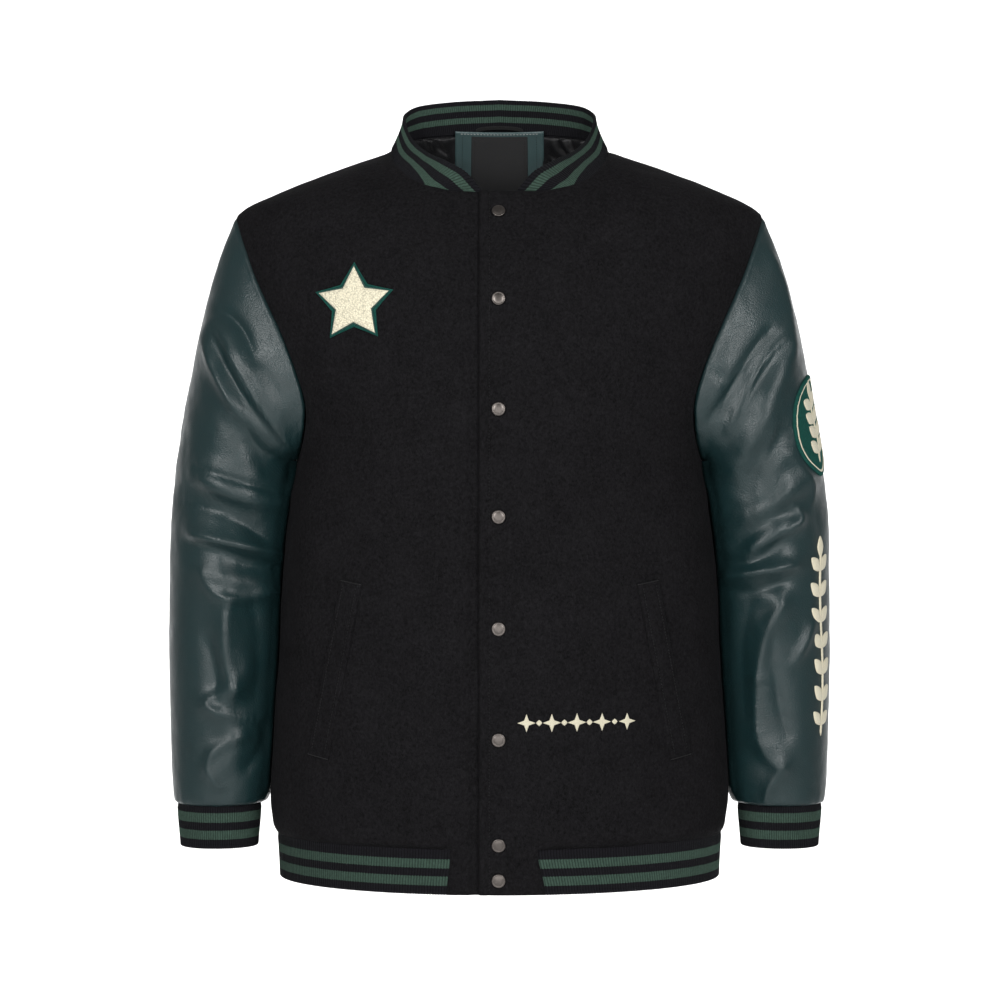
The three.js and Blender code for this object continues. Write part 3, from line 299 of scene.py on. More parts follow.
def curve_through(rows, key, column):
    """A smooth curve through a table's column, as a cubic between rows."""
    xs, ys = rows[key], rows[column]
    index = np.arange(len(xs))
    before, after = np.maximum(index - 1, 0), np.minimum(index + 1, len(xs) - 1)
    slopes = (ys[after] - ys[before]) / (xs[after] - xs[before])

    def at(value):
        value = np.asarray(value, float)
        i = np.clip(np.searchsorted(xs, value) - 1, 0, len(xs) - 2)
        span = xs[i + 1] - xs[i]
        t = np.clip((value - xs[i]) / span, 0, 1)
        t2, t3 = t * t, t * t * t
        return (
            (2 * t3 - 3 * t2 + 1) * ys[i]
            + (t3 - 2 * t2 + t) * span * slopes[i]
            + (3 * t2 - 2 * t3) * ys[i + 1]
            + (t3 - t2) * span * slopes[i + 1]
        )

    return at


def unit(vectors):
    return vectors / np.maximum(np.linalg.norm(vectors, axis=-1, keepdims=True), 1e-9)


def stack(*coordinates):
    return np.stack(np.broadcast_arrays(*coordinates), axis=-1)


def grid_normals(points, outwards, closed=False):
    """Normals of a grid of points, all turned to the side that outwards points to."""
    if closed:
        padded = np.concatenate([points[:, -2:-1], points, points[:, 1:2]], axis=1)
        across = padded[:, 2:] - padded[:, :-2]
    else:
        across = np.gradient(points, axis=1)
    normals = unit(np.cross(across, np.gradient(points, axis=0)))
    sign = np.sign(np.sum(normals * outwards, axis=-1, keepdims=True))
    return normals * np.where(sign == 0, 1, sign)


def run_lengths(points, axis):
    """Distance along a grid's rows or columns from its first point."""
    steps = np.linalg.norm(np.diff(points, axis=axis), axis=-1)
    pad = [(0, 0), (0, 0)]
    pad[axis] = (1, 0)
    return np.cumsum(np.pad(steps, pad), axis=axis)


def along_line(line):
    """Distance along a line of points from its first point."""
    return np.concatenate([[0], np.cumsum(np.linalg.norm(np.diff(line, axis=0), axis=1))])


def evenly(line, count):
    """A line of points resampled at equal distances."""
    run = along_line(line)
    at = np.linspace(0, run[-1], count)
    return np.stack([np.interp(at, run, line[:, k]) for k in range(3)], axis=-1)


def distance_from(points, line):
    """How far every point is from a line of points."""
    line = evenly(line, max(int(along_line(line)[-1] / 0.6), 2))
    tree = kdtree.KDTree(len(line))
    for i, point in enumerate(line):
        tree.insert(point, i)
    tree.balance()
    flat = points.reshape(-1, 3)
    return np.array([tree.find(p)[2] for p in flat]).reshape(points.shape[:-1])


def unevenness(points, size, seed):
    """Soft noise of about -1 to 1 at every point, with features of the given size."""
    flat = points.reshape(-1, 3) / size
    shift = Vector((seed * 7.3, seed * 3.1, seed * 5.7))
    values = [noise.noise(Vector(p) + shift) for p in flat]
    return np.array(values).reshape(points.shape[:-1]) * 1.6


# The body's form

half_width = curve_through(BODY, "z", "half_width")
front_column = curve_through(BODY, "z", "front")
back_column = curve_through(BODY, "z", "back")


def domed(depth, z, close_z):
    share = np.clip((z - CHEST_Z) / (close_z - CHEST_Z), 0, 1)
    return depth * np.sqrt(1 - share**DOME_POWER)


def depth_at(z, fore):
    front = domed(front_column(z), z, FRONT_DOME_Z)
    back = domed(back_column(z), z, BACK_DOME_Z)
    return np.where(fore, front, back)


def body_point(angle, z):
    """The body at an angle (0 left, a quarter front, three quarters back) and a height."""
    angle, z = np.broadcast_arrays(np.asarray(angle, float), np.asarray(z, float))
    x = half_width(z) * np.cos(angle)
    y = -depth_at(z, np.sin(angle) >= 0) * np.sin(angle)
    degrees = np.degrees(angle) % 360
    drape = 0
    for middle, middle_z, half_angle, half_height, height in zip(*BODY_DRAPES.values()):
        off_angle, off_z = (degrees - middle) / half_angle, (z - middle_z) / half_height
        drape = drape + height * np.exp(-(off_angle**2) - off_z**2)
    reach = np.maximum(np.hypot(x, y), 1e-6)
    return stack(x * (1 + drape / reach), y * (1 + drape / reach), z)


def body_normals(angle, z, angle_step=0.004, z_step=0.5):
    around = body_point(angle + angle_step, z) - body_point(angle - angle_step, z)
    along = body_point(angle, z + z_step) - body_point(angle, z - z_step)
    return unit(np.cross(along, around))


def front_angle(x, z):
    return np.arccos(np.clip(x / half_width(z), -1, 1))


def armhole(turn, side):
    z = (ARMHOLE_TOP_Z + ARMHOLE_BOTTOM_Z) / 2 + (ARMHOLE_TOP_Z - ARMHOLE_BOTTOM_Z) / 2 * np.cos(turn)
    near_top, fullness = ARMHOLE[side]
    reach = (near_top + fullness * (0.5 - np.cos(turn) / 2)) * np.sin(turn)
    return z, np.arcsin(reach / depth_at(z, side == "front"))


def shoulder_lines(steps):
    """Fine points of the shoulder table, by its row number."""
    numbered = dict(SHOULDER, index=np.arange(SHOULDER_STEPS + 1.0))
    index = np.linspace(0, SHOULDER_STEPS, steps + 1)
    return index, {name: curve_through(numbered, "index", name)(index) for name in SHOULDER}


def lower_rows(side, from_z):
    """Edge angle and edge height of a panel's rows, up to the top of the armhole."""
    lower = np.arange(from_z, ARMHOLE_BOTTOM_Z - 1, LOWER_ROW_HEIGHT)
    z, angle = armhole(np.linspace(math.pi, 0, ARMHOLE_ROWS + 1), side)
    middle = np.linspace(ARMHOLE_BOTTOM_Z, NECK_LINE_Z, ARMHOLE_ROWS + 1)
    return np.concatenate([0 * lower, angle]), np.concatenate([lower, z]), np.concatenate([lower, middle])


def front_top(x):
    """Height of a front's upper edge: the shoulder seam out to the sleeve, else the neck line."""
    _, lines = shoulder_lines(NECK_STEPS)
    neck = np.interp(x, lines["neck_x"], np.minimum(lines["neck_z"], 0))
    ridge_z = np.linspace(ARMHOLE_TOP_Z, 0, 400)
    shoulder = np.interp(-x, -half_width(ridge_z), ridge_z)
    return np.where(x >= NECK_POINT_X, shoulder, neck)


def front_grid(side, stops, lean, dip):
    """Points, normals and edges of one front. side is 1 for the wearer's left and -1 for the right."""
    edge_angle, edge_z, middle_z = (a[:, None] for a in lower_rows("front", HEM_Z))
    last = SIDE_COLUMNS + len(stops) - 1
    level = SIDE_COLUMNS + float(np.interp(-LEVEL_TOP_X, -np.array(stops), np.arange(len(stops))))
    beside = np.linspace(0, SIDE_COLUMNS, FRONT_COLUMNS)
    lap = np.linspace(SIDE_COLUMNS, last, LAP_COLUMNS)
    columns = np.unique(np.concatenate([beside, lap, [level]]))[None]
    z = edge_z + (middle_z - edge_z) * np.clip(columns / level, 0, 1)
    tab = smooth_step(HEM_SEAM_Z - z, 0, HEM_SEAM_Z - HEM_Z)
    guide = front_angle(stops[0] + lean * tab, z)
    stop_x = np.interp(columns, SIDE_COLUMNS + np.arange(len(stops)), stops)
    inner = front_angle(stop_x + lean * tab * (stop_x == stops[0]), z)
    outer = edge_angle + (guide - edge_angle) * columns / SIDE_COLUMNS
    angle = np.where(columns <= SIDE_COLUMNS, outer, inner)
    # Above the armhole every column keeps its place across the chest and runs up to the top edge.
    across, start_z = half_width(z[-1]) * np.cos(angle[-1]), z[-1]
    corner = int(np.argmin(np.abs(across - NECK_POINT_X)))
    rise = np.linspace(0, 1, SHOULDER_ROWS + 1)[1:, None]
    x = across + (NECK_POINT_X - across) * rise * (np.arange(len(across)) == corner)
    goal = np.where(np.arange(len(across)) == corner, NECK_POINT_X, across)
    top_z = np.where(columns[0] >= level, start_z, np.maximum(front_top(goal), start_z))
    power = 1 + smooth_step(goal, 60, NECK_POINT_X)
    up_z = top_z - (top_z - start_z) * (1 - rise) ** power
    up_angle = front_angle(x, up_z)
    up_angle[-1, goal >= NECK_POINT_X] = 0
    angle, z = np.concatenate([angle, up_angle]), np.concatenate([z, up_z])
    body_side = angle if side > 0 else math.pi - angle
    points = body_point(body_side, z)
    points[..., 1] += smooth_step(-side * points[..., 0], -UNDERLAP_START_X, -UNDERLAP_FULL_X) * dip
    rows = len(edge_z)
    edges = {
        "side": points[:rows, 0],
        "middle": points[:rows, -1],
        "hem": points[0],
        "shoulder": points[-1, goal >= NECK_POINT_X],
        "collar": points[-1, (goal <= NECK_POINT_X) & (goal >= COLLAR_START_X)],
        "top": points[-1, goal <= COLLAR_START_X],
    }
    return points, body_normals(body_side, z), edges


def back_grid():
    edge_angle, edge_z, middle_z = (a[:, None] for a in lower_rows("back", HEM_SEAM_Z))
    index, lines = shoulder_lines(SHOULDER_ROWS)
    zero = np.zeros((SHOULDER_ROWS, 1))
    edge_angle = np.concatenate([edge_angle, zero])
    edge_z = np.concatenate([edge_z, lines["ridge_z"][1:, None]])
    middle_z = np.concatenate([middle_z, lines["back_z"][1:, None]])
    index = np.concatenate([np.zeros((len(middle_z) - SHOULDER_ROWS, 1)), index[1:, None]])
    columns = np.linspace(0, 2, BACK_COLUMNS)[None]
    share = 1 - np.abs(1 - columns)
    quarter = edge_angle + (math.pi / 2 - edge_angle) * share
    curved = np.sin(quarter) ** (1 - 0.4 * index / SHOULDER_STEPS)
    rise = share + (curved - share) * np.clip(index, 0, 1)
    z = edge_z + (middle_z - edge_z) * rise
    angle = np.where(columns <= 1, TAU - quarter, math.pi + quarter)
    return body_point(angle, z), body_normals(angle, z)


def front_surface(x, z):
    return body_point(front_angle(x, z), z)


# The sleeves' form

sleeve_line = {name: curve_through(SLEEVE, "at", name) for name in SLEEVE if name != "at"}
ARMHOLE_REACH = 4.2
ARM_CLEARANCE = 0.3
ARM_CONTACT = 9.0  # the sleeve lies against the side where it is nearer than this
CREASE_STRENGTH = 1.2
ARM_RADIUS, UNDERARM_RADIUS = 68, 66


def sleeve_tube(turn, at):
    outer_x, outer_z = sleeve_line["outer_x"](at), sleeve_line["outer_z"](at)
    inner_x, inner_z = sleeve_line["inner_x"](at), sleeve_line["inner_z"](at)
    lean = np.cos(turn) / 2
    return stack(
        (outer_x + inner_x) / 2 + (outer_x - inner_x) * lean,
        sleeve_line["middle_y"](at) - sleeve_line["half_depth"](at) * np.sin(turn),
        (outer_z + inner_z) / 2 + (outer_z - inner_z) * lean,
    )


def armhole_point(turn):
    turn = np.asarray(turn, float) % TAU
    fore = turn <= math.pi
    z_front, angle_front = armhole(np.where(fore, turn, 0), "front")
    z_back, angle_back = armhole(np.where(fore, 0, TAU - turn), "back")
    return body_point(np.where(fore, angle_front, TAU - angle_back), np.where(fore, z_front, z_back))


def plain_sleeve(turn, at):
    fade = 1 - smooth_step(at, 0, ARMHOLE_REACH)
    shift = (armhole_point(turn) - sleeve_tube(turn, 0 * at)) * fade[..., None]
    return sleeve_tube(turn, at) + shift


def fold_heights(folds, x, z, power=2.0):
    """Height of a table of folds at every place seen from the front. A low power sharpens the crests."""
    total = np.zeros_like(x)
    steps = np.linspace(0, 1, 25)
    for row in zip(*(folds[name] for name in FOLD_COLUMNS.split())):
        x0, z0, x1, z1, x2, z2, width, height = row
        cx, cz = 2 * x1 - (x0 + x2) / 2, 2 * z1 - (z0 + z2) / 2
        line_x = (1 - steps) ** 2 * x0 + 2 * steps * (1 - steps) * cx + steps**2 * x2
        line_z = (1 - steps) ** 2 * z0 + 2 * steps * (1 - steps) * cz + steps**2 * z2
        distance = np.hypot(x[..., None] - line_x, z[..., None] - line_z)
        nearest = np.argmin(distance, axis=-1)
        along = (steps[nearest] * 12 + 1.5) / 15
        across = np.min(distance, axis=-1) / width
        total += height * np.sqrt(np.sin(math.pi * along)) * np.exp(-(across**power))
    return total


def pressed(points, turn):
    """The sleeve lies flat where it meets the side of the body."""
    x, y, z = points[..., 0], points[..., 1], points[..., 2]
    depth = depth_at(z, y < 0)
    side = half_width(z) * np.sqrt(np.clip(1 - (y / depth) ** 2, 0, 1)) + ARM_CLEARANCE
    facing = smooth_step(-np.cos(turn), 0.8, 0.97)
    touching = smooth_step(side + ARM_CONTACT - x, 0, 3)
    near = facing * touching * smooth_step(z, -686, -664)
    beside = np.maximum(x, side)
    return stack(np.where(z > ARMHOLE_BOTTOM_Z, x, beside + (side - beside) * near), y, z)


def folded_sleeve(turn, at, folds, creases=None):
    """The outer face of the left sleeve with its folds, and the plain form's normals."""
    here = plain_sleeve(turn, at)
    d = 0.01
    back = np.where(at > 6, -1.0, 1.0)
    around = plain_sleeve(turn + d, at) - here
    along = (plain_sleeve(turn, at + d * back) - here) * back[..., None]
    normals = unit(np.cross(around, along))
    x, z, facing = here[..., 0], here[..., 2], np.sin(turn)
    fore = smooth_step(facing, 0.05, 0.55)
    aft = smooth_step(-facing, 0.05, 0.55)
    height = fold_heights(folds, x, z) * fore + fold_heights(BACK_FOLDS, x, z) * aft
    if creases is not None:
        sharp = fold_heights(creases, x, z, 1.5) * fore + fold_heights(BACK_CREASES, x, z, 1.5) * aft
        height = height + CREASE_STRENGTH * sharp
    ends = smooth_step(at, 0, 1.2) * (1 - smooth_step(at, 11, 11.8))
    return here, normals, height * ends


def left_sleeve_place(degrees, row, row_length=24.5, rows=28):
    """Maps (across, up) in millimetres round a middle line to a point on the left sleeve."""

    def place(across, up):
        turn = math.radians(degrees) - across / ARM_RADIUS
        at = (row - up / row_length) / rows * SLEEVE_END
        here, normals, height = folded_sleeve(turn, at, LEFT_FOLDS)
        return pressed(here + normals * height[..., None], turn)

    return place


# Making pieces


def new_piece(name, mesh, *materials):
    piece = bpy.data.objects.new(name, mesh)
    bpy.context.scene.collection.objects.link(piece)
    for material in materials:
        mesh.materials.append(material)
    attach(piece, "root")
    return piece


def smooth_mesh(bm, mesh):
    """Moves a bmesh into a mesh, with its faces shaded smooth."""
    for face in bm.faces:
        face.smooth = True
    bm.to_mesh(mesh)
    bm.free()
    return mesh


def cloth_mesh(name, points, outwards, uv=None):
    """A smooth sheet through a grid of points in millimetres, its faces turned outwards."""
    rows, columns = points.shape[:2]
    places = points.reshape(-1, 3) * MM
    bm = bmesh.new()
    bmesh.ops.create_grid(bm, x_segments=columns - 1, y_segments=rows - 1, size=1)
    mesh = bpy.data.meshes.new(name)
    bm.to_mesh(mesh)
    bm.free()
    mesh.vertices.foreach_set("co", places.ravel())
    if uv is None:
        uv = stack(run_lengths(points, 1), run_lengths(points, 0))
    corner = np.empty(len(mesh.loops), int)
    mesh.loops.foreach_get("vertex_index", corner)
    mesh.uv_layers.new(name="cloth").data.foreach_set("uv", uv.reshape(-1, 2)[corner].ravel())
    bm = bmesh.new()
    bm.from_mesh(mesh)
    bmesh.ops.remove_doubles(bm, verts=bm.verts, dist=WELD_DISTANCE)
    bmesh.ops.dissolve_degenerate(bm, edges=bm.edges, dist=WELD_DISTANCE)
    bm.normal_update()
    bm.faces.ensure_lookup_table()
    middle = bm.faces[len(bm.faces) // 2]
    nearest = np.argmin(np.linalg.norm(places - np.array(middle.calc_center_median()), axis=1))
    if middle.normal.dot(Vector(outwards.reshape(-1, 3)[nearest])) < 0:
        bmesh.ops.reverse_faces(bm, faces=bm.faces)
    return smooth_mesh(bm, mesh)


def raised_mesh(name, points, normals, height):
    return cloth_mesh(name, points + normals * height[..., None], normals)


def thicken(piece, thickness, inside=None):
    """Gives a sheet its thickness inwards. inside is a second material for its inner face."""
    if inside:
        piece.data.materials.append(inside)
    wall = piece.modifiers.new("thickness", "SOLIDIFY")
    wall.thickness = thickness * MM
    wall.offset = -1
    wall.use_even_offset = False
    wall.thickness_clamp = 0
    wall.material_offset = 1 if inside else 0
    return piece


def seam_roll(distance, depth=1.1, reach=2.2):
    """How far cloth turns in beside a seam that is this many millimetres away."""
    return -depth * np.exp(-((distance / reach) ** 2))


def ridge(distance, at, reach, height):
    return height * np.exp(-(((distance - at) / reach) ** 2))


def add_stitches(bm, line, normals, pitch, length, radius):
    """Lays stitches along a line of points on cloth."""
    run = along_line(line)

    def between(values, at):
        return Vector([np.interp(at, run, values[:, k]) for k in range(3)])

    for start in np.arange(0.5 * pitch, run[-1] - 0.5 * pitch, pitch):
        first, second = between(line, start - length / 2), between(line, start + length / 2)
        along = (second - first).normalized()
        side = between(normals, start).normalized().cross(along).normalized()
        normal = along.cross(side)
        middle = (first + second) / 2 + normal * radius * 0.35
        place = Matrix((along * length / 2, side * radius, normal * radius)).transposed().to_4x4()
        place = Matrix.Translation(middle) @ place
        bmesh.ops.create_icosphere(bm, subdivisions=1, radius=1, matrix=Matrix.Scale(MM, 4) @ place)


def stitch_piece(name, lines, thread, pitch, length, radius):
    bm = bmesh.new()
    for line, normals in lines:
        add_stitches(bm, line, normals, pitch, length, radius)
    piece = new_piece(name, smooth_mesh(bm, bpy.data.meshes.new(name)), finish(thread))


def surface_frame(surface, across, up):
    d = 0.6
    here = surface(across, up)
    du = surface(across + d, up) - surface(across - d, up)
    dv = surface(across, up + d) - surface(across, up - d)
    return here, unit(np.cross(du, dv))


def plate_grid(surface, middle, radius_at, profile, steps, rings, tilt=0.0, bumps=0.0, seed=1):
    """A flat shape lying on cloth. profile gives (share of the radius, height) from middle to foot."""
    turns = np.linspace(0, TAU, steps + 1)
    shares, heights = np.array(profile, float).T
    path = np.linspace(0, len(shares) - 1, rings)
    share = np.interp(path, np.arange(len(shares)), shares)[:, None]
    height = np.interp(path, np.arange(len(heights)), heights)[:, None] + 0 * turns
    reach = radius_at(turns)[None] * share
    side, along = reach * np.sin(turns), reach * np.cos(turns)
    across = middle[0] + side * math.cos(tilt) + along * math.sin(tilt)
    up = middle[1] - side * math.sin(tilt) + along * math.cos(tilt)
    points, normals = surface_frame(surface, across, up)
    if bumps:
        height = height + bumps * unevenness(points, 2.3, seed) * (share < 0.97)
    return points + normals * height[..., None], normals, stack(side, along)


# Materials


def node(tree, kind, inputs=None, **settings):
    made = tree.nodes.new("ShaderNode" + kind)
    for key, value in settings.items():
        setattr(made, key, value)
    for socket, value in (inputs or {}).items():
        if isinstance(value, bpy.types.NodeSocket):
            tree.links.new(value, made.inputs[socket])
        else:
            made.inputs[socket].default_value = value
    return made


def math_node(tree, operation, *values):
    return node(tree, "Math", dict(enumerate(values)), operation=operation).outputs[0]


def noise_node(tree, where, scale, detail, distortion=0.0):
    inputs = {"Vector": where, "Scale": scale, "Detail": detail, "Distortion": distortion}
    return node(tree, "TexNoise", inputs).outputs


def ranged(tree, value, low, high, first=0.0, last=1.0):
    return node(tree, "MapRange", {0: value, 1: low, 2: high, 3: first, 4: last}).outputs[0]


def mixed(tree, factor, a, b, blend="MIX"):
    return node(tree, "Mix", {0: factor, 6: a, 7: b}, data_type="RGBA", blend_type=blend).outputs[2]


def scaled(tree, vector, scale):
    return node(tree, "VectorMath", {0: vector, "Scale": scale}, operation="SCALE").outputs[0]


def object_place(tree):
    return node(tree, "TexCoord").outputs["Object"]


def cloth_map(tree):
    """The piece's own map, whole and as its two coordinates."""
    where = node(tree, "UVMap", uv_map="cloth").outputs[0]
    return where, *node(tree, "SeparateXYZ", {0: where}).outputs[:2]


def new_material(name, constants):
    """A material with the shader's constant values set, its node tree and its shader."""
    material = bpy.data.materials.new(name)
    material.use_nodes = True
    shader = material.node_tree.nodes["Principled BSDF"]
    for socket, value in constants.items():
        shader.inputs[socket].default_value = value
    return material, material.node_tree, shader


def new_group(name, inputs, outputs):
    tree = bpy.data.node_groups.new(name, "ShaderNodeTree")
    for socket, kind, default in inputs:
        made = tree.interface.new_socket(name=socket, in_out="INPUT", socket_type="NodeSocket" + kind)
        if default is not None:
            made.default_value = default
    for socket, kind in outputs:
        tree.interface.new_socket(name=socket, in_out="OUTPUT", socket_type="NodeSocket" + kind)
    return tree, tree.nodes.new("NodeGroupInput").outputs, tree.nodes.new("NodeGroupOutput").inputs


def make_fibre_group():
    """Matted fibres: a colour broken up by fibre, clump and patch, and the height of the fibres."""
    inputs = [("Dark", "Color", None), ("Light", "Color", None), ("Fibre size", "Float", 1.0)]
    tree, given, out = new_group("matted_fibres", inputs, [("Color", "Color"), ("Height", "Float")])
    where = object_place(tree)
    sized = scaled(tree, where, math_node(tree, "DIVIDE", 1.0, given["Fibre size"]))
    stretched = node(tree, "Mapping", {"Vector": sized, "Scale": (1.0, 1.0, 0.35)}).outputs[0]
    fibre = noise_node(tree, stretched, 1500.0, 3.0, 1.2)[0]
    clump = noise_node(tree, sized, 330.0, 3.0, 0.6)[0]
    patch = noise_node(tree, where, 26.0, 2.0)[0]
    height = math_node(tree, "MULTIPLY_ADD", fibre, 0.55, math_node(tree, "MULTIPLY", clump, 0.45))
    tone = math_node(tree, "MULTIPLY_ADD", patch, 0.12, height)
    shade = mixed(tree, ranged(tree, tone, 0.4, 0.72), given["Dark"], given["Light"])
    tree.links.new(shade, out["Color"])
    tree.links.new(height, out["Height"])


def make_thread_group():
    """Close parallel threads across a piece's own map, in millimetres."""
    inputs = [("Pitch", "Float", 0.5), ("Slant", "Float", 0.3)]
    tree, given, out = new_group("laid_threads", inputs, [("Height", "Float")])
    where, u, v = cloth_map(tree)
    wander = noise_node(tree, where, 0.9, 1.0)[0]
    slanted = math_node(tree, "MULTIPLY_ADD", u, given["Slant"], v)
    moved = math_node(tree, "MULTIPLY_ADD", wander, 0.5, slanted)
    phase = math_node(tree, "DIVIDE", moved, given["Pitch"])
    wave = math_node(tree, "SINE", math_node(tree, "MULTIPLY", phase, TAU))
    tree.links.new(math_node(tree, "MULTIPLY_ADD", wave, 0.5, 0.5), out["Height"])


def fibres(tree, dark, light, size):
    made = bpy.data.node_groups["matted_fibres"]
    return node(tree, "Group", {"Dark": dark, "Light": light, "Fibre size": size}, node_tree=made).outputs


def threads(tree, pitch, slant):
    made = bpy.data.node_groups["laid_threads"]
    return node(tree, "Group", {"Pitch": pitch, "Slant": slant}, node_tree=made).outputs["Height"]


def bumped(tree, shader, height, strength, distance):
    bump = node(tree, "Bump", {"Strength": strength, "Distance": distance * MM, "Height": height})
    tree.links.new(bump.outputs[0], shader.inputs["Normal"])


def toned(colour, share=1.0):
    """A colour made darker or lighter, with its fourth value."""
    return tuple(c * share for c in colour[:3]) + (1.0,)


def grey(value):
    return (value, value, value, 1.0)


def wool_material(name, colour, spread=0.75, fibre_size=1.0, sheen=0.12):
    constants = {"Roughness": 0.92, "Specular IOR Level": 0.08, "Sheen Weight": sheen, "Sheen Roughness": 0.5}
    material, tree, shader = new_material(name, {**constants, "Sheen Tint": toned(colour, 6)})
    nap = fibres(tree, toned(colour, 1 - spread), toned(colour, 1 + spread), fibre_size)
    tree.links.new(nap["Color"], shader.inputs["Base Color"])
    bumped(tree, shader, nap["Height"], 0.55, 0.5)
    return material


def leather_material(name, colour):
    """Coated cloth with a fine pebbled grain, lighter and smoother in soft patches."""
    material, tree, shader = new_material(name, {"Specular IOR Level": 0.55})
    where = object_place(tree)
    push = noise_node(tree, where, 500.0, 2.0)["Color"]
    bent = node(tree, "Mix", {0: 0.0016, 4: where, 5: push}, data_type="VECTOR").outputs[1]
    inputs = {"Vector": bent, "Scale": 820.0}
    cells = node(tree, "TexVoronoi", inputs, feature="SMOOTH_F1").outputs["Distance"]
    fine = noise_node(tree, where, 2100.0, 2.0)[0]
    slow = noise_node(tree, where, 34.0, 3.0, 0.8)[0]
    grain = math_node(tree, "MULTIPLY_ADD", fine, 0.25, math_node(tree, "SUBTRACT", 1.0, cells))
    wide = math_node(tree, "MULTIPLY_ADD", slow, 0.9, grain)
    tone = math_node(tree, "MULTIPLY_ADD", slow, 0.7, math_node(tree, "MULTIPLY", cells, 0.3))
    tree.links.new(mixed(tree, tone, toned(colour, 0.78), toned(colour, 1.25)), shader.inputs["Base Color"])
    tree.links.new(ranged(tree, slow, 0.3, 0.7, 0.41, 0.31), shader.inputs["Roughness"])
    bumped(tree, shader, wide, 0.6, 0.45)
    return material


def rib_material(name, black, green, stripes):
    """Knitted rib, striped along the map's second coordinate, which is the share of the band's width, with
    painted shade in the grooves between the ribs.
    """
    constants = {"Roughness": 0.9, "Specular IOR Level": 0.1, "Sheen Weight": 0.1, "Sheen Roughness": 0.5}
    material, tree, shader = new_material(name, {**constants, "Sheen Tint": (0.25, 0.3, 0.27, 1)})
    _, u, v = cloth_map(tree)
    loop = math_node(tree, "PINGPONG", math_node(tree, "MULTIPLY", u, 0.9), 0.5)
    ramp = node(tree, "ValToRGB", {0: math_node(tree, "MULTIPLY_ADD", loop, 0.022, v)})
    ramp.color_ramp.interpolation = "CONSTANT"
    elements = ramp.color_ramp.elements
    elements[0].color = grey(0)
    elements[1].position, elements[1].color = stripes[0], grey(1)
    for position, value in zip(stripes[1:], (0, 1, 0)):
        elements.new(position).color = grey(value)
    knit = fibres(tree, grey(0.7), grey(1.25), 0.8)
    # Painted shade: the colour is darkened in the grooves between the ribs and lightened a little on their
    # crests.
    painted_groove_shade = ranged(tree, math_node(tree, "PINGPONG", u, 0.5), 0.2, 0.48, 1.08, 0.45)
    striped = scaled(tree, mixed(tree, ramp.outputs[0], toned(black), toned(green)), painted_groove_shade)
    shade = mixed(tree, 1.0, striped, knit["Color"], "MULTIPLY")
    tree.links.new(shade, shader.inputs["Base Color"])
    courses = math_node(tree, "MULTIPLY_ADD", v, 190.0, math_node(tree, "MULTIPLY", loop, 3.0))
    height = math_node(tree, "MULTIPLY_ADD", math_node(tree, "SINE", courses), 0.16, knit["Height"])
    bumped(tree, shader, height, 0.6, 0.5)
    return material


def satin_material(name, colour):
    material, tree, shader = new_material(name, {})
    # This noise gives the satin its crumpled relief and also its colour: painted highlight on the raised
    # creases and painted shade in the hollows.
    crush_with_painted_light = noise_node(tree, object_place(tree), 90.0, 3.0, 1.0)[0]
    tree.links.new(mixed(tree, crush_with_painted_light, toned(colour, 0.7), toned(colour, 1.5)), shader.inputs["Base Color"])
    tree.links.new(ranged(tree, crush_with_painted_light, 0, 1, 0.3, 0.5), shader.inputs["Roughness"])
    weave = math_node(tree, "MULTIPLY", threads(tree, 0.45, 0.6), 0.2)
    bumped(tree, shader, math_node(tree, "MULTIPLY_ADD", crush_with_painted_light, 2.4, weave), 0.5, 0.5)
    return material


def thread_material(name, colour, pitch=0.55, slant=0.25, roughness=0.55, sheen=0.2):
    """Satin stitch: close, slightly shiny threads, with painted shade in the grooves between them."""
    material, tree, shader = new_material(name, {"Roughness": roughness, "Sheen Weight": sheen})
    laid = threads(tree, pitch, slant)
    # Painted shade: the colour is darker where the laid threads are low, in the grooves between them.
    tree.links.new(mixed(tree, laid, toned(colour, 0.72), toned(colour, 1.06)), shader.inputs["Base Color"])
    bumped(tree, shader, laid, 0.8, 0.3)
    return material


def chenille_material(name, colour):
    """Cut loops of thick soft yarn, with painted shade in the gaps between the loops."""
    material, tree, shader = new_material(name, {"Roughness": 0.95, "Sheen Weight": 0.4})
    inputs = {"Vector": object_place(tree), "Scale": 560.0}
    loops = node(tree, "TexVoronoi", inputs, feature="F1").outputs["Distance"]
    yarn = fibres(tree, toned(colour, 0.9), toned(colour, 1.05), 0.6)
    # Painted shade: the colour darkens towards the edge of each loop, in the low gaps between them.
    shade = mixed(tree, ranged(tree, loops, 0.25, 0.85), yarn["Color"], toned(colour, 0.62))
    tree.links.new(shade, shader.inputs["Base Color"])
    raised = math_node(tree, "SUBTRACT", 1.0, loops)
    bumped(tree, shader, math_node(tree, "MULTIPLY_ADD", yarn["Height"], 0.3, raised), 0.9, 0.9)
    return material


def metal_material(name, colour):
    """Antique nickel, rubbed brighter in places."""
    material, tree, shader = new_material(name, {"Metallic": 1.0})
    where = object_place(tree)
    rubbed = noise_node(tree, where, 420.0, 4.0)[0]
    tree.links.new(mixed(tree, rubbed, toned(colour, 0.7), toned(colour, 1.15)), shader.inputs["Base Color"])
    tree.links.new(ranged(tree, rubbed, 0, 1, 0.3, 0.42), shader.inputs["Roughness"])
    bumped(tree, shader, noise_node(tree, where, 2600.0, 2.0)[0], 0.12, 0.1)
    return material


def floor_material(name, colour):
    constants = {"Base Color": toned(colour), "Roughness": 1.0, "Specular IOR Level": 0.0}
    return new_material(name, constants)[0]


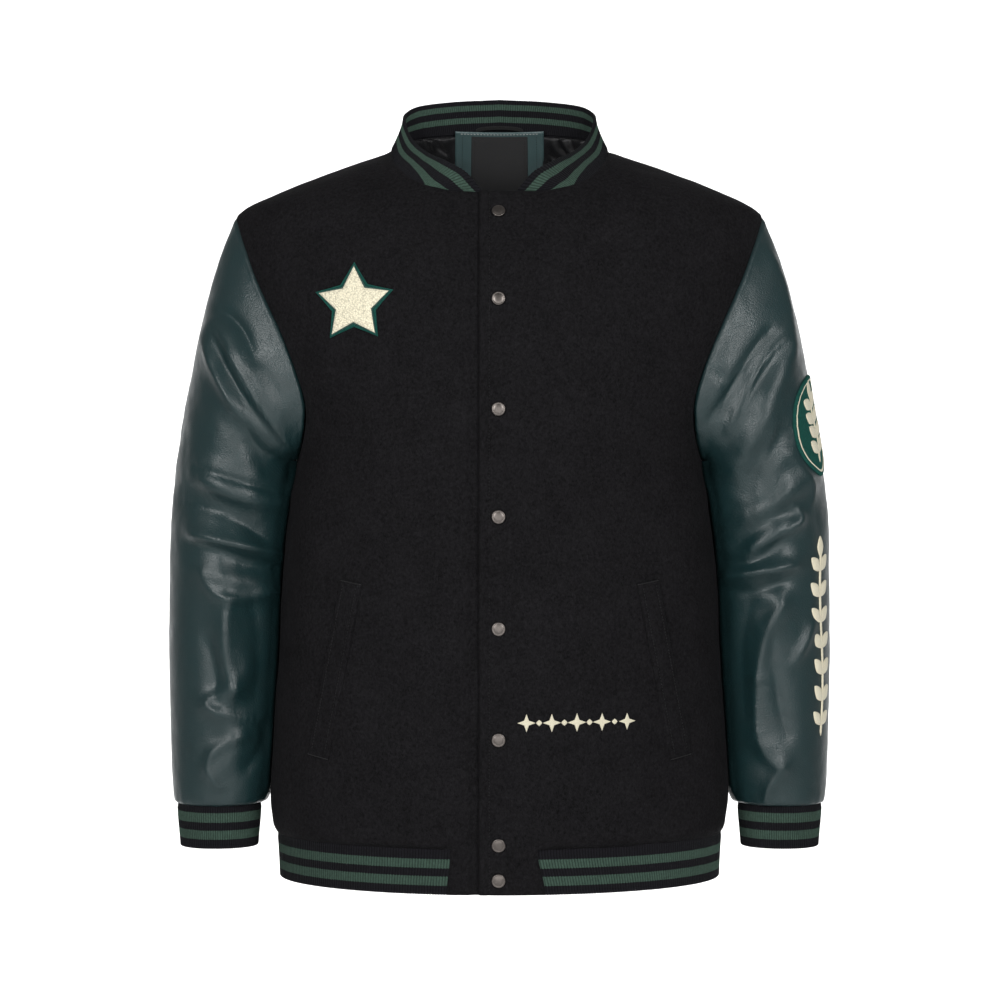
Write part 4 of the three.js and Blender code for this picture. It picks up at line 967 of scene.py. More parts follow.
def finish(name):
    """The material of that name, made from the panel's colours the first time it is asked for."""
    if name in bpy.data.materials:
        return bpy.data.materials[name]
    if "matted_fibres" not in bpy.data.node_groups:
        make_fibre_group()
        make_thread_group()
    dye = bpy.context.scene.jacket_colours
    recipes = {
        "melton_wool": (wool_material, dye.wool),
        "grained_cloth": (leather_material, dye.leather),
        "collar_knit": (rib_material, dye.rib_black, dye.rib_green, COLLAR_STRIPES),
        "cuff_knit": (rib_material, dye.rib_black, dye.rib_green, CUFF_STRIPES),
        "hem_knit": (rib_material, dye.rib_black, dye.rib_green, HEM_STRIPES),
        "satin": (satin_material, dye.lining),
        "patch_felt": (wool_material, dye.felt, 0.35, 0.8, 0.15),
        "neck_patch_grain": (leather_material, dye.neck_patch),
        "cream_chenille": (chenille_material, dye.cream),
        "cream_thread": (thread_material, dye.cream),
        "green_thread": (thread_material, dye.felt, 0.9, 0.0),
        "black_thread": (thread_material, toned(dye.wool, 0.3), 0.3, 0.4, 0.8, 0.02),
        "grey_thread": (thread_material, dye.topstitch, 0.3, 0.4, 0.5),
        "label_weave": (thread_material, dye.label, 0.4, 0.0, 0.6, 0.05),
        "nickel": (metal_material, dye.metal),
        "floor": (floor_material, dye.floor),
    }
    maker, *values = recipes[name]
    return maker(name, *values)


# Settings


def length_property(name, description, default):
    return bpy.props.FloatProperty(name=name, description=description, default=default, unit="LENGTH")


def colour_property(name, description, default):
    settings = {"subtype": "COLOR", "min": 0, "max": 1}
    return bpy.props.FloatVectorProperty(name=name, description=description, default=default, **settings)


class JacketSizes(bpy.types.PropertyGroup):
    wool: length_property("Wool", "Thickness of the melton wool", 0.0022)
    leather: length_property("Sleeve cloth", "Thickness of the coated cloth", 0.0018)
    rib: length_property("Rib", "Thickness of the folded rib knit", 0.0026)
    rib_relief: length_property("Rib relief", "Height of one knitted rib", 0.0010)
    collar_pitch: length_property("Collar rib pitch", "Distance between collar ribs", 0.0023)
    cuff_pitch: length_property("Cuff rib pitch", "Distance between cuff ribs", 0.0026)
    hem_pitch: length_property("Hem rib pitch", "Distance between hem ribs", 0.003)
    snap_radius: length_property("Snap radius", "Radius of a snap's cap", 0.0069)
    welt_width: length_property("Welt width", "Width of a pocket's welt", 0.023)
    star_radius: length_property("Star radius", "Radius of the chest star", 0.038)
    camera_distance: length_property("Camera distance", "From the camera to the chest", 2.6)


class JacketColours(bpy.types.PropertyGroup):
    wool: colour_property("Wool", "Black of the body", (0.0075, 0.0072, 0.0080))
    leather: colour_property("Sleeves", "Dark green of the sleeves", (0.0085, 0.026, 0.028))
    rib_black: colour_property("Rib black", "Black of the knit", (0.0078, 0.0075, 0.0096))
    rib_green: colour_property("Rib green", "Green of the knit's stripes", (0.043, 0.074, 0.057))
    lining: colour_property("Lining", "Black of the satin", (0.009, 0.009, 0.010))
    felt: colour_property("Felt", "Green of the patches' felt", (0.010, 0.062, 0.050))
    cream: colour_property("Cream", "Cream of the chenille and stitching", (0.97, 0.90, 0.68))
    neck_patch: colour_property("Neck patch", "Green grey of the neck patch", (0.050, 0.088, 0.090))
    topstitch: colour_property("Topstitch", "Grey of the neck patch's thread", (0.5, 0.52, 0.5))
    label: colour_property("Label", "Dark grey of the plain label", (0.010, 0.010, 0.011))
    metal: colour_property("Snaps", "Nickel of the snaps", (0.155, 0.138, 0.128))
    floor: colour_property("Floor", "Pale floor and backdrop", (0.9, 0.9, 0.9))


# The body's panels


def wool_relief(points, from_side, seed):
    """The wool's own slight unevenness and its edge turned in beside the sleeves and sides."""
    height = 0.8 * unevenness(points, 70.0, seed) + 0.35 * unevenness(points, 24.0, seed + 3)
    return height + seam_roll(from_side) + ridge(from_side, 4.5, 2.0, 0.45) + ridge(from_side, 7.6, 0.9, -0.4)


def hem_roll(points):
    """The wool's turned edge above the hem, and the line of stitching beside it."""
    seam = points[..., 2] - HEM_SEAM_Z
    return ridge(seam, 9, 6, 1.3) + ridge(seam, 0.5, 1.6, -1.3) + ridge(seam, 8, 0.8, -0.6)


class JACKET_OT_body(bpy.types.Operator):
    """Make the two wool fronts and the back"""

    bl_idname = "jacket.body"
    bl_label = "Wool body"

    def execute(self, context):
        thickness = context.scene.jacket_sizes.wool / MM
        wool, satin = finish("melton_wool"), finish("satin")
        for name, side, stops, lean, dip, seed in (
            ("front_left", 1, UPPER_STOPS, UPPER_LEAN, 0.0, 1),
            ("front_right", -1, UNDER_STOPS, UNDER_LEAN, UNDERLAP_DIP, 5),
        ):
            points, normals, edges = front_grid(side, stops, lean, dip)
            away = {edge: distance_from(points, line) for edge, line in edges.items()}
            height = wool_relief(points, away["side"], seed)
            if side == 1:
                height += 0.9 * np.sin(math.pi * np.clip(away["middle"] / 9.5, 0, 1)) ** 0.7
                height += ridge(away["middle"], 10.6, 0.9, -0.7) + ridge(away["middle"], 0, 1.0, -0.5)
            height += seam_roll(away["collar"], 0.8) + seam_roll(away["shoulder"], 0.8)
            height += ridge(away["top"], 0, 1.2, -0.6) + ridge(away["hem"], 0, 1.2, -0.6)
            height += smooth_step(side * points[..., 0], 38, 52) * hem_roll(points)
            for z in SNAP_ZS:
                from_snap = (points[..., 0] - SNAP_X) ** 2 + (points[..., 2] - z) ** 2
                height -= 0.5 * np.exp(-from_snap / SNAP_DENT_RADIUS**2)
            mesh = raised_mesh(name, points, normals, height)
            drop_rib_share(mesh, side, stops[0], lean)
            piece = thicken(new_piece("wool_" + name, mesh, wool), thickness, satin)
            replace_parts(piece, name)
        points, normals = back_grid()
        side = np.minimum(distance_from(points, points[:, 0]), distance_from(points, points[:, -1]))
        height = wool_relief(points, side, 9) + seam_roll(distance_from(points, points[-1]), 0.8)
        mesh = raised_mesh("back", points, normals, height + hem_roll(points))
        piece = thicken(new_piece("wool_back", mesh, wool), thickness, satin)
        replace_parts(piece, "back")
        return {"FINISHED"}


def drop_rib_share(mesh, side, stop, lean):
    """Cuts away the part of a front below the hem seam, beside its tab, where the rib is sewn on."""
    bm = bmesh.new()
    bm.from_mesh(mesh)
    gone = []
    for face in bm.faces:
        x, _, z = (c / MM for c in face.calc_center_median())
        tab = float(smooth_step(HEM_SEAM_Z - z, 0, HEM_SEAM_Z - HEM_Z))
        if z < HEM_SEAM_Z and side * x > stop + lean * tab:
            gone.append(face)
    bmesh.ops.delete(bm, geom=gone, context="FACES")
    bm.to_mesh(mesh)
    bm.free()


# Sleeves


def sleeve_relief(turn, points, side):
    """Crumples, the gathers at both ends, and the seams of a sleeve."""
    crumple = np.abs(unevenness(points * (1, 1, 0.7), 34.0, side + 4)) * 0.8
    crumple = crumple + 0.22 * unevenness(points, 12.0, side + 8)
    underarm = 0.6 + 0.7 * np.exp(-(((points[..., 2] - ARMHOLE_BOTTOM_Z) / 120) ** 2))
    from_seam = run_lengths(points, 0)
    from_end = from_seam[-1:] - from_seam
    gathers = 0.25 * np.sin(turn * 32) * np.exp(-from_seam / 9)
    gathers = gathers + 0.35 * np.sin(turn * 21 + side) * np.exp(-from_end / 12)
    ends = smooth_step(from_seam, 3, 18) * smooth_step(from_end, 4, 22)
    height = (crumple * underarm - 0.5) * ends + gathers * smooth_step(from_end, 0, 4)
    height += seam_roll(from_seam, 1.0, 1.8) + ridge(from_seam, 4, 2.6, 0.3)
    from_underarm = np.minimum(np.abs(turn - math.pi) * UNDERARM_RADIUS, 40)
    return height + seam_roll(from_underarm, 0.8, 1.6) * ends


class JACKET_OT_sleeves(bpy.types.Operator):
    """Make the two leather-look sleeves with their folds"""

    bl_idname = "jacket.sleeves"
    bl_label = "Sleeves"

    def execute(self, context):
        thickness = context.scene.jacket_sizes.leather / MM
        leather, satin = finish("grained_cloth"), finish("satin")
        turn = np.linspace(0, TAU, SLEEVE_COLUMNS)[None]
        at = SLEEVE_END * np.linspace(0, 1, SLEEVE_ROWS)[:, None]
        turn, at = np.broadcast_arrays(turn, at)
        for name, side, folds, creases in (
            ("sleeve_left", 1, LEFT_FOLDS, LEFT_CREASES),
            ("sleeve_right", -1, RIGHT_FOLDS, RIGHT_CREASES),
        ):
            here, normals, height = folded_sleeve(turn, at, folds, creases)
            height = height + sleeve_relief(turn, here, side)
            points = pressed(here + normals * height[..., None], turn)
            points[:, -1] = points[:, 0]
            tucked_in = points[:1] - unit(points[1:2] - points[:1]) * SEAM_ALLOWANCE - normals[:1]
            mirror = (side, 1, 1)
            points = np.concatenate([tucked_in, points]) * mirror
            mesh = cloth_mesh(name, points, np.concatenate([normals[:1], normals]) * mirror)
            piece = thicken(new_piece("leather_" + name, mesh, leather), thickness, satin)
            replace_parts(piece, name)
        return {"FINISHED"}


# Rib knit


def knit_band(name, outer, outwards, pitch, relief, thickness, closed=False, width=None):
    """A folded band of rib knit. outer runs from the seam to the fold, even along the band."""
    normals = grid_normals(outer, outwards, closed)
    run = run_lengths(outer, 1)[:1]
    count = round(run[0, -1] / pitch)
    wale = (np.abs(np.cos(math.pi * run / run[0, -1] * count)) ** 0.7 - 0.5) * relief
    share = np.linspace(0, 1, len(outer))[:, None]
    up = unit(np.gradient(outer, axis=0))
    half = thickness / 2
    shortened = outer - up[-1:] * half * smooth_step(share, 0.6, 1)[..., None]
    height = wale * smooth_step(share, -0.05, 0.06) - 0.9 * (share < 0.02)
    face = shortened + normals * height[..., None]
    middle = shortened[-1] - normals[-1] * half
    ring = (half + wale[0])[:, None]
    fold = []
    for angle in np.linspace(0, math.pi, FOLD_STEPS)[1:-1]:
        fold.append(middle + normals[-1] * (ring * math.cos(angle)) + up[-1] * (ring * math.sin(angle)))
    inside = shortened - normals * (thickness + wale)[..., None]
    allowance = face[:1] - up[:1] * SEAM_ALLOWANCE - normals[:1] * 0.6
    points = np.concatenate([allowance, face, np.array(fold), inside[::-1]])
    v = np.concatenate([share[:1, 0], share[:, 0], np.full(len(fold), 0.999), share[::-1, 0]])[:, None]
    if width is not None:
        v = 1 - (1 - v) * run_lengths(outer, 0)[-1:] / width
    out = np.concatenate([normals[:1], normals, np.repeat(normals[-1:], len(fold), axis=0), -normals[::-1]])
    if closed:
        points[:, -1] = points[:, 0]
    knit = finish(name.split("_")[0] + "_knit")
    return new_piece("knit_" + name, cloth_mesh(name, points, out, uv=stack(run / pitch, v)), knit)


def neck_line():
    """The collar seam from its left end round the back to its right end, and the steps on each front."""
    _, lines = shoulder_lines(NECK_STEPS)
    x, z = (lines[name][lines["neck_x"] >= COLLAR_START_X] for name in ("neck_x", "neck_z"))
    left = body_point(front_angle(x, z), z)
    back = back_grid()[0][-1]
    return np.concatenate([left, back[1:-1], left[::-1] * (-1, 1, 1)]), len(x) - 1


def collar_points():
    """Points of the collar's outer face, its outward directions, and its width as the stripes take it."""
    line, front_steps = neck_line()
    lengths = along_line(line)
    front, whole = lengths[front_steps], lengths[-1]
    line = evenly(line, COLLAR_COLUMNS)
    run = np.linspace(0, whole, COLLAR_COLUMNS)
    half = np.minimum(run, whole - run)
    share = np.where(half <= front, 0.5 * half / front, 0.5 + 0.5 * (half - front) / (whole / 2 - front))
    side = np.where(run <= whole / 2, 1, -1)
    x, y, z = (curve_through(COLLAR_EDGE, "share", k)(share) for k in "xyz")
    tucked = 1 - smooth_step(share, 0, 0.07)
    edge = stack(side * x, y + 2.5 * tucked, z - 6 * tucked)
    line = line + stack(0 * tucked, 2.5 * tucked, -3 * tucked)
    up = np.linspace(0, 1, COLLAR_ROWS)[:, None, None]
    outwards = unit(line * (1, 1, 0))
    points = line + (edge - line) * up + outwards * COLLAR_BULGE * np.sin(math.pi * up)
    near_front = 0.22 * (1 - smooth_step(share, 0.3, 0.5)) + 0.42 * (1 - smooth_step(share, 0, 0.24))
    return points, np.broadcast_to(outwards, points.shape) + (0, 0, 0.3), COLLAR_WIDTH * (1 + near_front)


def hem_points():
    """Points of the hem, even along it, from the left front's tab round the back to the right front's."""
    z = np.linspace(HEM_SEAM_Z, HEM_Z, BAND_ROWS)[:, None]
    tab = smooth_step(HEM_SEAM_Z - z, 0, HEM_SEAM_Z - HEM_Z)
    start = front_angle(UPPER_STOPS[0] + UPPER_LEAN * tab, z)
    whole = -math.pi - front_angle(UNDER_STOPS[0] + UNDER_LEAN * tab, z) - start
    fine = np.linspace(0, 1, HEM_COLUMNS)[None]
    run = run_lengths(body_point(start + whole * fine, z), 1)[BAND_ROWS // 2]
    even = np.interp(np.linspace(0, run[-1], HEM_COLUMNS), run, fine[0])[None]
    points = body_point(start + whole * even, z)
    return points - unit(points * (1, 1, 0)) * 0.8


class JACKET_OT_ribs(bpy.types.Operator):
    """Make the striped collar, cuffs and hem"""

    bl_idname = "jacket.ribs"
    bl_label = "Rib knit"

    def execute(self, context):
        sizes = context.scene.jacket_sizes
        relief, thickness = sizes.rib_relief / MM, sizes.rib / MM
        points, out, width = collar_points()
        pitch = sizes.collar_pitch / MM
        piece = knit_band("collar", points, out, pitch, relief, thickness - 0.2, width=width)
        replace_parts(piece, "collar_rib")
        middle = (SLEEVE["outer_x"][-1] + SLEEVE["inner_x"][-1]) / 2
        middle_y = SLEEVE["middle_y"][-1]
        turn = np.linspace(0, TAU, CUFF_COLUMNS)[None]
        z = np.linspace(CUFF["z"][-1], CUFF["z"][0], BAND_ROWS)[::-1][:, None]
        upwards = {name: column[::-1] for name, column in CUFF.items()}
        half_wide, half_deep = (curve_through(upwards, "z", k)(z) for k in ("half_width", "half_depth"))
        pitch = sizes.cuff_pitch / MM
        for side, word in ((1, "left"), (-1, "right")):
            points = stack(side * (middle + half_wide * np.cos(turn)), middle_y - half_deep * np.sin(turn), z)
            out = (points - (side * middle, middle_y, 0)) * (1, 1, 0)
            piece = knit_band("cuff_" + word, points, out, pitch, relief, thickness, closed=True)
            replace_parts(piece, "cuff_" + word)
        points = hem_points()
        piece = knit_band("hem", points, points * (1, 1, 0), sizes.hem_pitch / MM, relief, thickness)
        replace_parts(piece, "hem_rib")
        return {"FINISHED"}


# Inside the neck

LINING_INSET = 9  # columns of the back that the lining leaves free at each side
LOOP_HALF_WIDTH, LOOP_Y, LOOP_Z = 26, 67.5, 29
FRONTWARDS = (0.0, -1.0, 0.2)


def back_inside(across, up, depth):
    """A point inside the back, seen from the front."""
    point = body_point(TAU - front_angle(across, up), up)
    inwards = unit(stack(-across, -depth_at(up, False), 0 * up))
    return point + inwards * np.asarray(depth)[..., None]


def neck_strip(name, half, top_z, bottom_z, depth, puff, material):
    """An oblong of cloth sewn on inside the back, and the points of its face."""
    across = np.linspace(-half, half, NECK_STRIP_COLUMNS)[None]
    up = np.linspace(top_z, bottom_z, NECK_STRIP_COLUMNS)[:, None]
    across, up = np.broadcast_arrays(across, up)
    edge = np.minimum(half - np.abs(across), np.minimum(top_z - up, up - bottom_z))
    height = puff * (1 - np.exp(-edge / 1.2)) + ridge(edge, 3, 0.7, -0.5 * puff)
    face = back_inside(across, up, depth + height)
    mesh = cloth_mesh(name, face, np.broadcast_to((0.0, -1.0, 0.3), face.shape), uv=stack(across, up))
    return new_piece(name, mesh, material), face


def seen_line(points):
    """A line for stitches that face the front."""
    return points, np.tile(FRONTWARDS, (len(points), 1))


class JACKET_OT_lining(bpy.types.Operator):
    """Make the satin lining, neck patch, plain label and hanging loop inside the back of the neck"""

    bl_idname = "jacket.lining"
    bl_label = "Lining and neck"

    def execute(self, context):
        points, normals = back_grid()
        first = int(np.argmax(lower_rows("back", HEM_SEAM_Z)[1] > ARMHOLE_BOTTOM_Z + 1))
        points, normals = (a[first:, LINING_INSET:-LINING_INSET] for a in (points, normals))
        top = distance_from(points, points[-1])
        run = run_lengths(points, 1)
        gathered = smooth_step(np.abs(points[..., 0]), 53, 62) * np.exp(-top / 110)
        pleats = np.sin(run / 3.6 + 1.8 * unevenness(points, 36, 2)) + 0.6 * np.sin(run / 2.1 + 2)
        height = -3.6 - 1.5 * gathered * (pleats + 1.3) - 0.5 * (1 + unevenness(points, 30, 6))
        height -= seam_roll(top, 0.9, 3)
        mesh = raised_mesh("back_lining", points, normals, height)
        lining = thicken(new_piece("satin_back", mesh, finish("satin")), 0.6)
        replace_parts(lining, "back_lining")
        grain, weave = finish("neck_patch_grain"), finish("label_weave")
        patch, patch_face = neck_strip("neck_patch_cloth", 51.5, 29, -62, 6.3, 1.0, grain)
        thicken(patch, 1.0)
        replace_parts(patch, "neck_patch")
        label, label_face = neck_strip("neck_label_cloth", 33.5, 24.5, -52, 7.9, 0.5, weave)
        thicken(label, 0.6)
        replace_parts(label, "neck_label")
        sides = ((patch_face, 3), (patch_face, 37), (label_face, 2), (label_face, 38))
        lines = [seen_line(face[2:-2, column]) for face, column in sides]
        stitch_piece("neck_stitches", lines, "black_thread", 3.0, 2.2, 0.25)
        stitch_piece("neck_patch_topstitch", [seen_line(patch_face[1, 2:-2])], "grey_thread", 3.6, 2.8, 0.45)
        turn = np.linspace(0, math.pi, 33)
        wide = np.linspace(-2, 2, 5)[:, None]
        z = LOOP_Z + 5 * np.sin(turn) ** 0.7 + wide
        loop = stack(-LOOP_HALF_WIDTH * np.cos(turn), LOOP_Y - 3 * np.sin(turn), z)
        mesh = cloth_mesh("hanging_loop", loop, np.broadcast_to((0.0, -1.0, 0.0), loop.shape))
        piece = thicken(new_piece("hanging_loop", mesh, finish("black_thread")), 1.0)
        return {"FINISHED"}


# Patches and embroidery

# Share of the radius and height in millimetres, from the middle of a patch to its foot
FELT_PROFILE = ((0, 1.6), (0.9, 1.6), (0.93, 2.3), (0.965, 2.4), (0.99, 1.9), (1, 0.9), (1, -0.6))
PUFF_PROFILE = ((0, 4.6), (0.7, 4.6), (0.86, 4.2), (0.95, 3.4), (0.99, 2.6), (1, 1.4))
LEAF_PROFILE = ((0, 1.5), (0.5, 1.35), (0.8, 0.95), (0.95, 0.4), (1, -0.3))
ROW_PROFILE = ((0, 1.0), (0.6, 0.9), (0.9, 0.5), (1, -0.4))
STAR_EDGING = ((0.9, 1.5), (0.93, 2.6), (0.98, 2.6), (1.0, 1.5))
SHIELD_EDGING = ((0.94, 1.4), (0.955, 2.3), (0.985, 2.3), (1.0, 1.4))

CHEST_PLACE = (-147, -172)
CHEST_FELT_MARGIN = 5
SHIELD_PLACE, BRANCH_PLACE = (29, 10.55), (40, 17.95)  # degrees round the sleeve, row down it
STEM_LENGTH, STEM_HALF_WIDTH, STEM_STEPS = 11, 1.7, 6
LEAF_HALF_WIDTH, LEAF_TILT = 5.75, math.radians(48)
ROW_X, ROW_Z, ROW_PITCH, ROW_COUNT = 27, -594, 12.7, 9
ROW_STARS = ((9.5, 4, 0.38), (3.2, 4, 0.8))  # radius, points and waist of the large and the small one


def star_radius(radius, points=5, waist=0.5):
    half = math.pi / points

    def at(turn):
        within = np.abs((turn + half) % (2 * half) - half)
        inner = radius * waist
        return radius * inner * math.sin(half) / (radius * np.sin(within) + inner * np.sin(half - within))

    return at


def shield_radius(half_wide, half_high):
    def at(turn):
        power = np.where(np.cos(turn) >= 0, 3.2, 1.7)
        x, y = np.abs(np.sin(turn)) / half_wide, np.abs(np.cos(turn)) / half_high
        return (x**power + y**power) ** (-1 / power)

    return at


def leaf_radius(length, half):
    """A pointed leaf whose middle is half way along it."""

    def at(turn):
        x, y = np.abs(np.sin(turn)) / half, np.abs(np.cos(turn)) / (length / 2)
        return (x**1.35 + y**1.35) ** (-1 / 1.35)

    return at


def enlarged(radius_at, share, margin):
    def at(turn):
        return radius_at(turn) * share + margin

    return at


def plate(name, surface, middle, radius_at, profile, material, slot, steps, rings, **shape):
    points, normals, uv = plate_grid(surface, middle, radius_at, profile, steps, rings, **shape)
    piece = new_piece(name, cloth_mesh(name, points, normals, uv=uv), finish(material))
    return piece


def joined(name, pieces):
    """One piece from several of the same finish."""
    bm = bmesh.new()
    for piece in pieces:
        bm.from_mesh(piece.data)
    first = pieces[0]
    bm.to_mesh(first.data)
    bm.free()
    for piece in pieces[1:]:
        bpy.data.objects.remove(piece, do_unlink=True)
    first.name = name
    return first


def stitched(name, surface, middle, radius_at, profile, steps, rings, tilt=0.0):
    """A small shape in cream satin stitch."""
    thread = ("cream_thread", "chenille")
    return plate(name, surface, middle, radius_at, profile, *thread, steps, rings, tilt=tilt)


def sprig(name, surface, start, end, pairs, length, lift, replaced):
    """A stem with paired leaves, in satin stitch."""
    profile = tuple((share, height + lift) for share, height in LEAF_PROFILE)
    stem_profile = tuple((share, 0.8 * height + lift) for share, height in LEAF_PROFILE)
    stem_outline = leaf_radius(STEM_LENGTH, STEM_HALF_WIDTH)
    outline = leaf_radius(length, LEAF_HALF_WIDTH)

    def stem_place(share):
        return 2.5 * math.sin(share * TAU), start + (end - start) * share * 0.9

    shapes = []
    steps = STEM_STEPS * pairs
    for i in range(steps):
        x, up = stem_place(i / steps)
        shapes.append(stitched(f"{name}_stem_{i}", surface, (x, up + 2.2), stem_outline, stem_profile, 12, 5))
    for pair in range(pairs):
        x, up = stem_place((pair + 0.35) / pairs)
        for hand in (-1, 1):
            tilt = hand * LEAF_TILT
            at = (x + math.sin(tilt) * length / 2, up + math.cos(tilt) * length / 2)
            shapes.append(stitched(f"{name}_{pair}_{hand}", surface, at, outline, profile, 28, 9, tilt))
    tip = (stem_place(1)[0], start + (end - start) * 0.88 + length / 2)
    shapes.append(stitched(f"{name}_tip", surface, tip, outline, profile, 28, 9))
    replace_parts(joined(name, shapes), replaced)


class JACKET_OT_patches(bpy.types.Operator):
    """Make the chest star, the sleeve's patch and leaf branch, and the embroidered row"""

    bl_idname = "jacket.patches"
    bl_label = "Patches"

    def execute(self, context):
        radius = context.scene.jacket_sizes.star_radius / MM
        chest = (front_surface, CHEST_PLACE)
        wide = radius + CHEST_FELT_MARGIN
        felt_outline = enlarged(star_radius(wide), 0.86, 1 + wide * 0.1)
        felt = plate("chest_felt", *chest, felt_outline, FELT_PROFILE, "patch_felt", "felt", 200, 40)
        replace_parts(felt, "chest_patch_felt")
        edging = enlarged(star_radius(radius), 1, 1.6)
        plate("chest_edging", *chest, edging, STAR_EDGING, "green_thread", "felt", 200, 14)
        outline, yarn = star_radius(radius), ("cream_chenille", "chenille")
        star = plate("chest_star", *chest, outline, PUFF_PROFILE, *yarn, 240, 60, bumps=0.55, seed=3)
        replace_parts(star, "chest_patch_star")
        sleeve = (left_sleeve_place(*SHIELD_PLACE), (0, 0))
        outline = shield_radius(38, 47)
        shield = plate("sleeve_felt", *sleeve, outline, FELT_PROFILE, "patch_felt", "felt", 160, 44)
        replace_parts(shield, "sleeve_patch_felt")
        stitched("sleeve_edging", *sleeve, shield_radius(35, 44), SHIELD_EDGING, 160, 12)
        sprig("sleeve_leaves", sleeve[0], -32, 32, 4, 22, 1.6, "sleeve_patch_leaves")
        sprig("sleeve_branch", left_sleeve_place(*BRANCH_PLACE), -90, 86, 7, 20, 0.4, "sleeve_sprig")
        row = []
        for i in range(ROW_COUNT):
            at = (ROW_X + ROW_PITCH * i, ROW_Z)
            outline = star_radius(*ROW_STARS[i % 2])
            row.append(stitched(f"row_{i}", front_surface, at, outline, ROW_PROFILE, 48, 10))
        joined("front_row", row)
        return {"FINISHED"}


# Pockets, stitching and snaps

WELT_TOP, WELT_BOTTOM = (150.0, -454.0), (185.0, -634.0)
PLACKET_STITCH_INSET = 10.6
SNAP_PROFILE = (
    (0.0, 2.2),
    (0.2, 2.18),
    (0.4, 2.1),
    (0.6, 1.9),
    (0.74, 1.6),
    (0.79, 1.5),
    (0.85, 1.75),
    (0.92, 1.7),
    (0.98, 1.35),
    (1.0, 0.9),
    (0.98, 0.4),
    (0.9, 0.0),
    (0.0, 0.0),
)


class JACKET_OT_pockets(bpy.types.Operator):
    """Make the pocket welts and the topstitching"""

    bl_idname = "jacket.pockets"
    bl_label = "Pockets and stitching"

    def execute(self, context):
        half = context.scene.jacket_sizes.welt_width / MM / 2
        run = np.array(WELT_BOTTOM) - np.array(WELT_TOP)
        length = np.linalg.norm(run)
        run /= length
        along = np.linspace(-0.5, length + 0.5, 150)[:, None]
        sideways = np.linspace(-half, half, 41)[None]
        x = WELT_TOP[0] + run[0] * along - run[1] * sideways
        z = WELT_TOP[1] + run[1] * along + run[0] * sideways
        edge = np.minimum(half - np.abs(sideways), np.minimum(along + 0.5, length + 0.5 - along))
        height = -0.7 + 3.3 * (1 - np.exp(-np.maximum(edge, 0) / 0.9)) - ridge(edge, 5.2, 0.7, 0.5)
        for side, word in ((1, "left"), (-1, "right")):
            points, normals = surface_frame(front_surface, side * x, z)
            points = points + normals * height[..., None]
            mesh = cloth_mesh("welt_" + word, points, normals)
            piece = thicken(new_piece("welt_" + word, mesh, finish("melton_wool")), 0.6)
            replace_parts(piece, "pocket_welt_" + word)
            sides = [(points[4:-4, column], normals[4:-4, column]) for column in (8, -9)]
            stitch_piece("welt_stitches_" + word, sides, "black_thread", 3.2, 2.3, 0.24)
            # Bar tacks across both ends of the welt, in dark thread that also stands for the shade in the gaps
            # at the welt's ends: partly painted shade.
            bar_tacks_and_gap_shade = [(points[row, 1:-1], normals[row, 1:-1]) for row in (1, -2)]
            stitch_piece("welt_bars_and_painted_gap_shade_" + word, bar_tacks_and_gap_shade, "black_thread", 1.5, 2.6, 0.55)
        z = np.linspace(NECK_LINE_Z - 3, HEM_Z + 3, 300)
        x = np.full_like(z, PLACKET_STITCH_INSET - FRONT_EDGE_X)
        points, normals = surface_frame(front_surface, x, z)
        stitch_piece("placket_stitches", [(points - normals * 0.1, normals)], "black_thread", 3.2, 2.3, 0.26)
        return {"FINISHED"}


class JACKET_OT_snaps(bpy.types.Operator):
    """Make the eight snaps of the front"""

    bl_idname = "jacket.snaps"
    bl_label = "Snaps"

    def execute(self, context):
        radius = context.scene.jacket_sizes.snap_radius
        whole_turn = {"cent": (0, 0, 0), "axis": (0, 0, 1), "angle": TAU, "steps": 48, "use_merge": True}
        for i, z in enumerate(SNAP_ZS, 1):
            bm = bmesh.new()
            verts = [bm.verts.new((share * radius, 0, height * MM)) for share, height in SNAP_PROFILE]
            edges = [bm.edges.new(pair) for pair in zip(verts, verts[1:])]
            bmesh.ops.spin(bm, geom=verts + edges, **whole_turn)
            bmesh.ops.remove_doubles(bm, verts=bm.verts, dist=WELD_DISTANCE)
            bmesh.ops.recalc_face_normals(bm, faces=bm.faces)
            point, normal = surface_frame(front_surface, np.array([SNAP_X]), np.array([float(z)]))
            turn = Vector((0, 0, 1)).rotation_difference(Vector(normal[0])).to_matrix()
            bmesh.ops.rotate(bm, cent=(0, 0, 0), matrix=turn, verts=bm.verts)
            place = Vector(point[0] * MM) + Vector(normal[0]) * SNAP_LIFT * MM
            bmesh.ops.translate(bm, vec=place, verts=bm.verts)
            mesh = smooth_mesh(bm, bpy.data.meshes.new(f"cap_{i}"))
            piece = new_piece(f"snap_cap_{i}", mesh, finish("nickel"))
            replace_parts(piece, f"snap_{i}")
        return {"FINISHED"}


# Stage, in metres

FLOOR_Z, FLOOR_START_Y, FLOOR_LENGTH, FLOOR_HALF_WIDTH = -1.35, -6, 8.0, 8
BEND_RADIUS, BEND_RUN, BACKDROP_RUN = 1.2, 1.9, 13
CHEST_Y, PICTURE_Z = -0.165, -0.371
LIGHT_TARGET = (0, 0, -0.37)
SENSOR_WIDTH, PICTURE_SHIFT = 36, 0.0005


def softbox(name, place, target, size, power):
    light = bpy.data.lights.new(name, "AREA")
    light.shape = "RECTANGLE"
    light.size, light.size_y = size
    light.energy = power
    lamp = bpy.data.objects.new(name, light)
    bpy.context.scene.collection.objects.link(lamp)
    lamp.location = place
    lamp.rotation_euler = (Vector(target) - Vector(place)).to_track_quat("-Z", "Y").to_euler()
    lamp.visible_camera = False


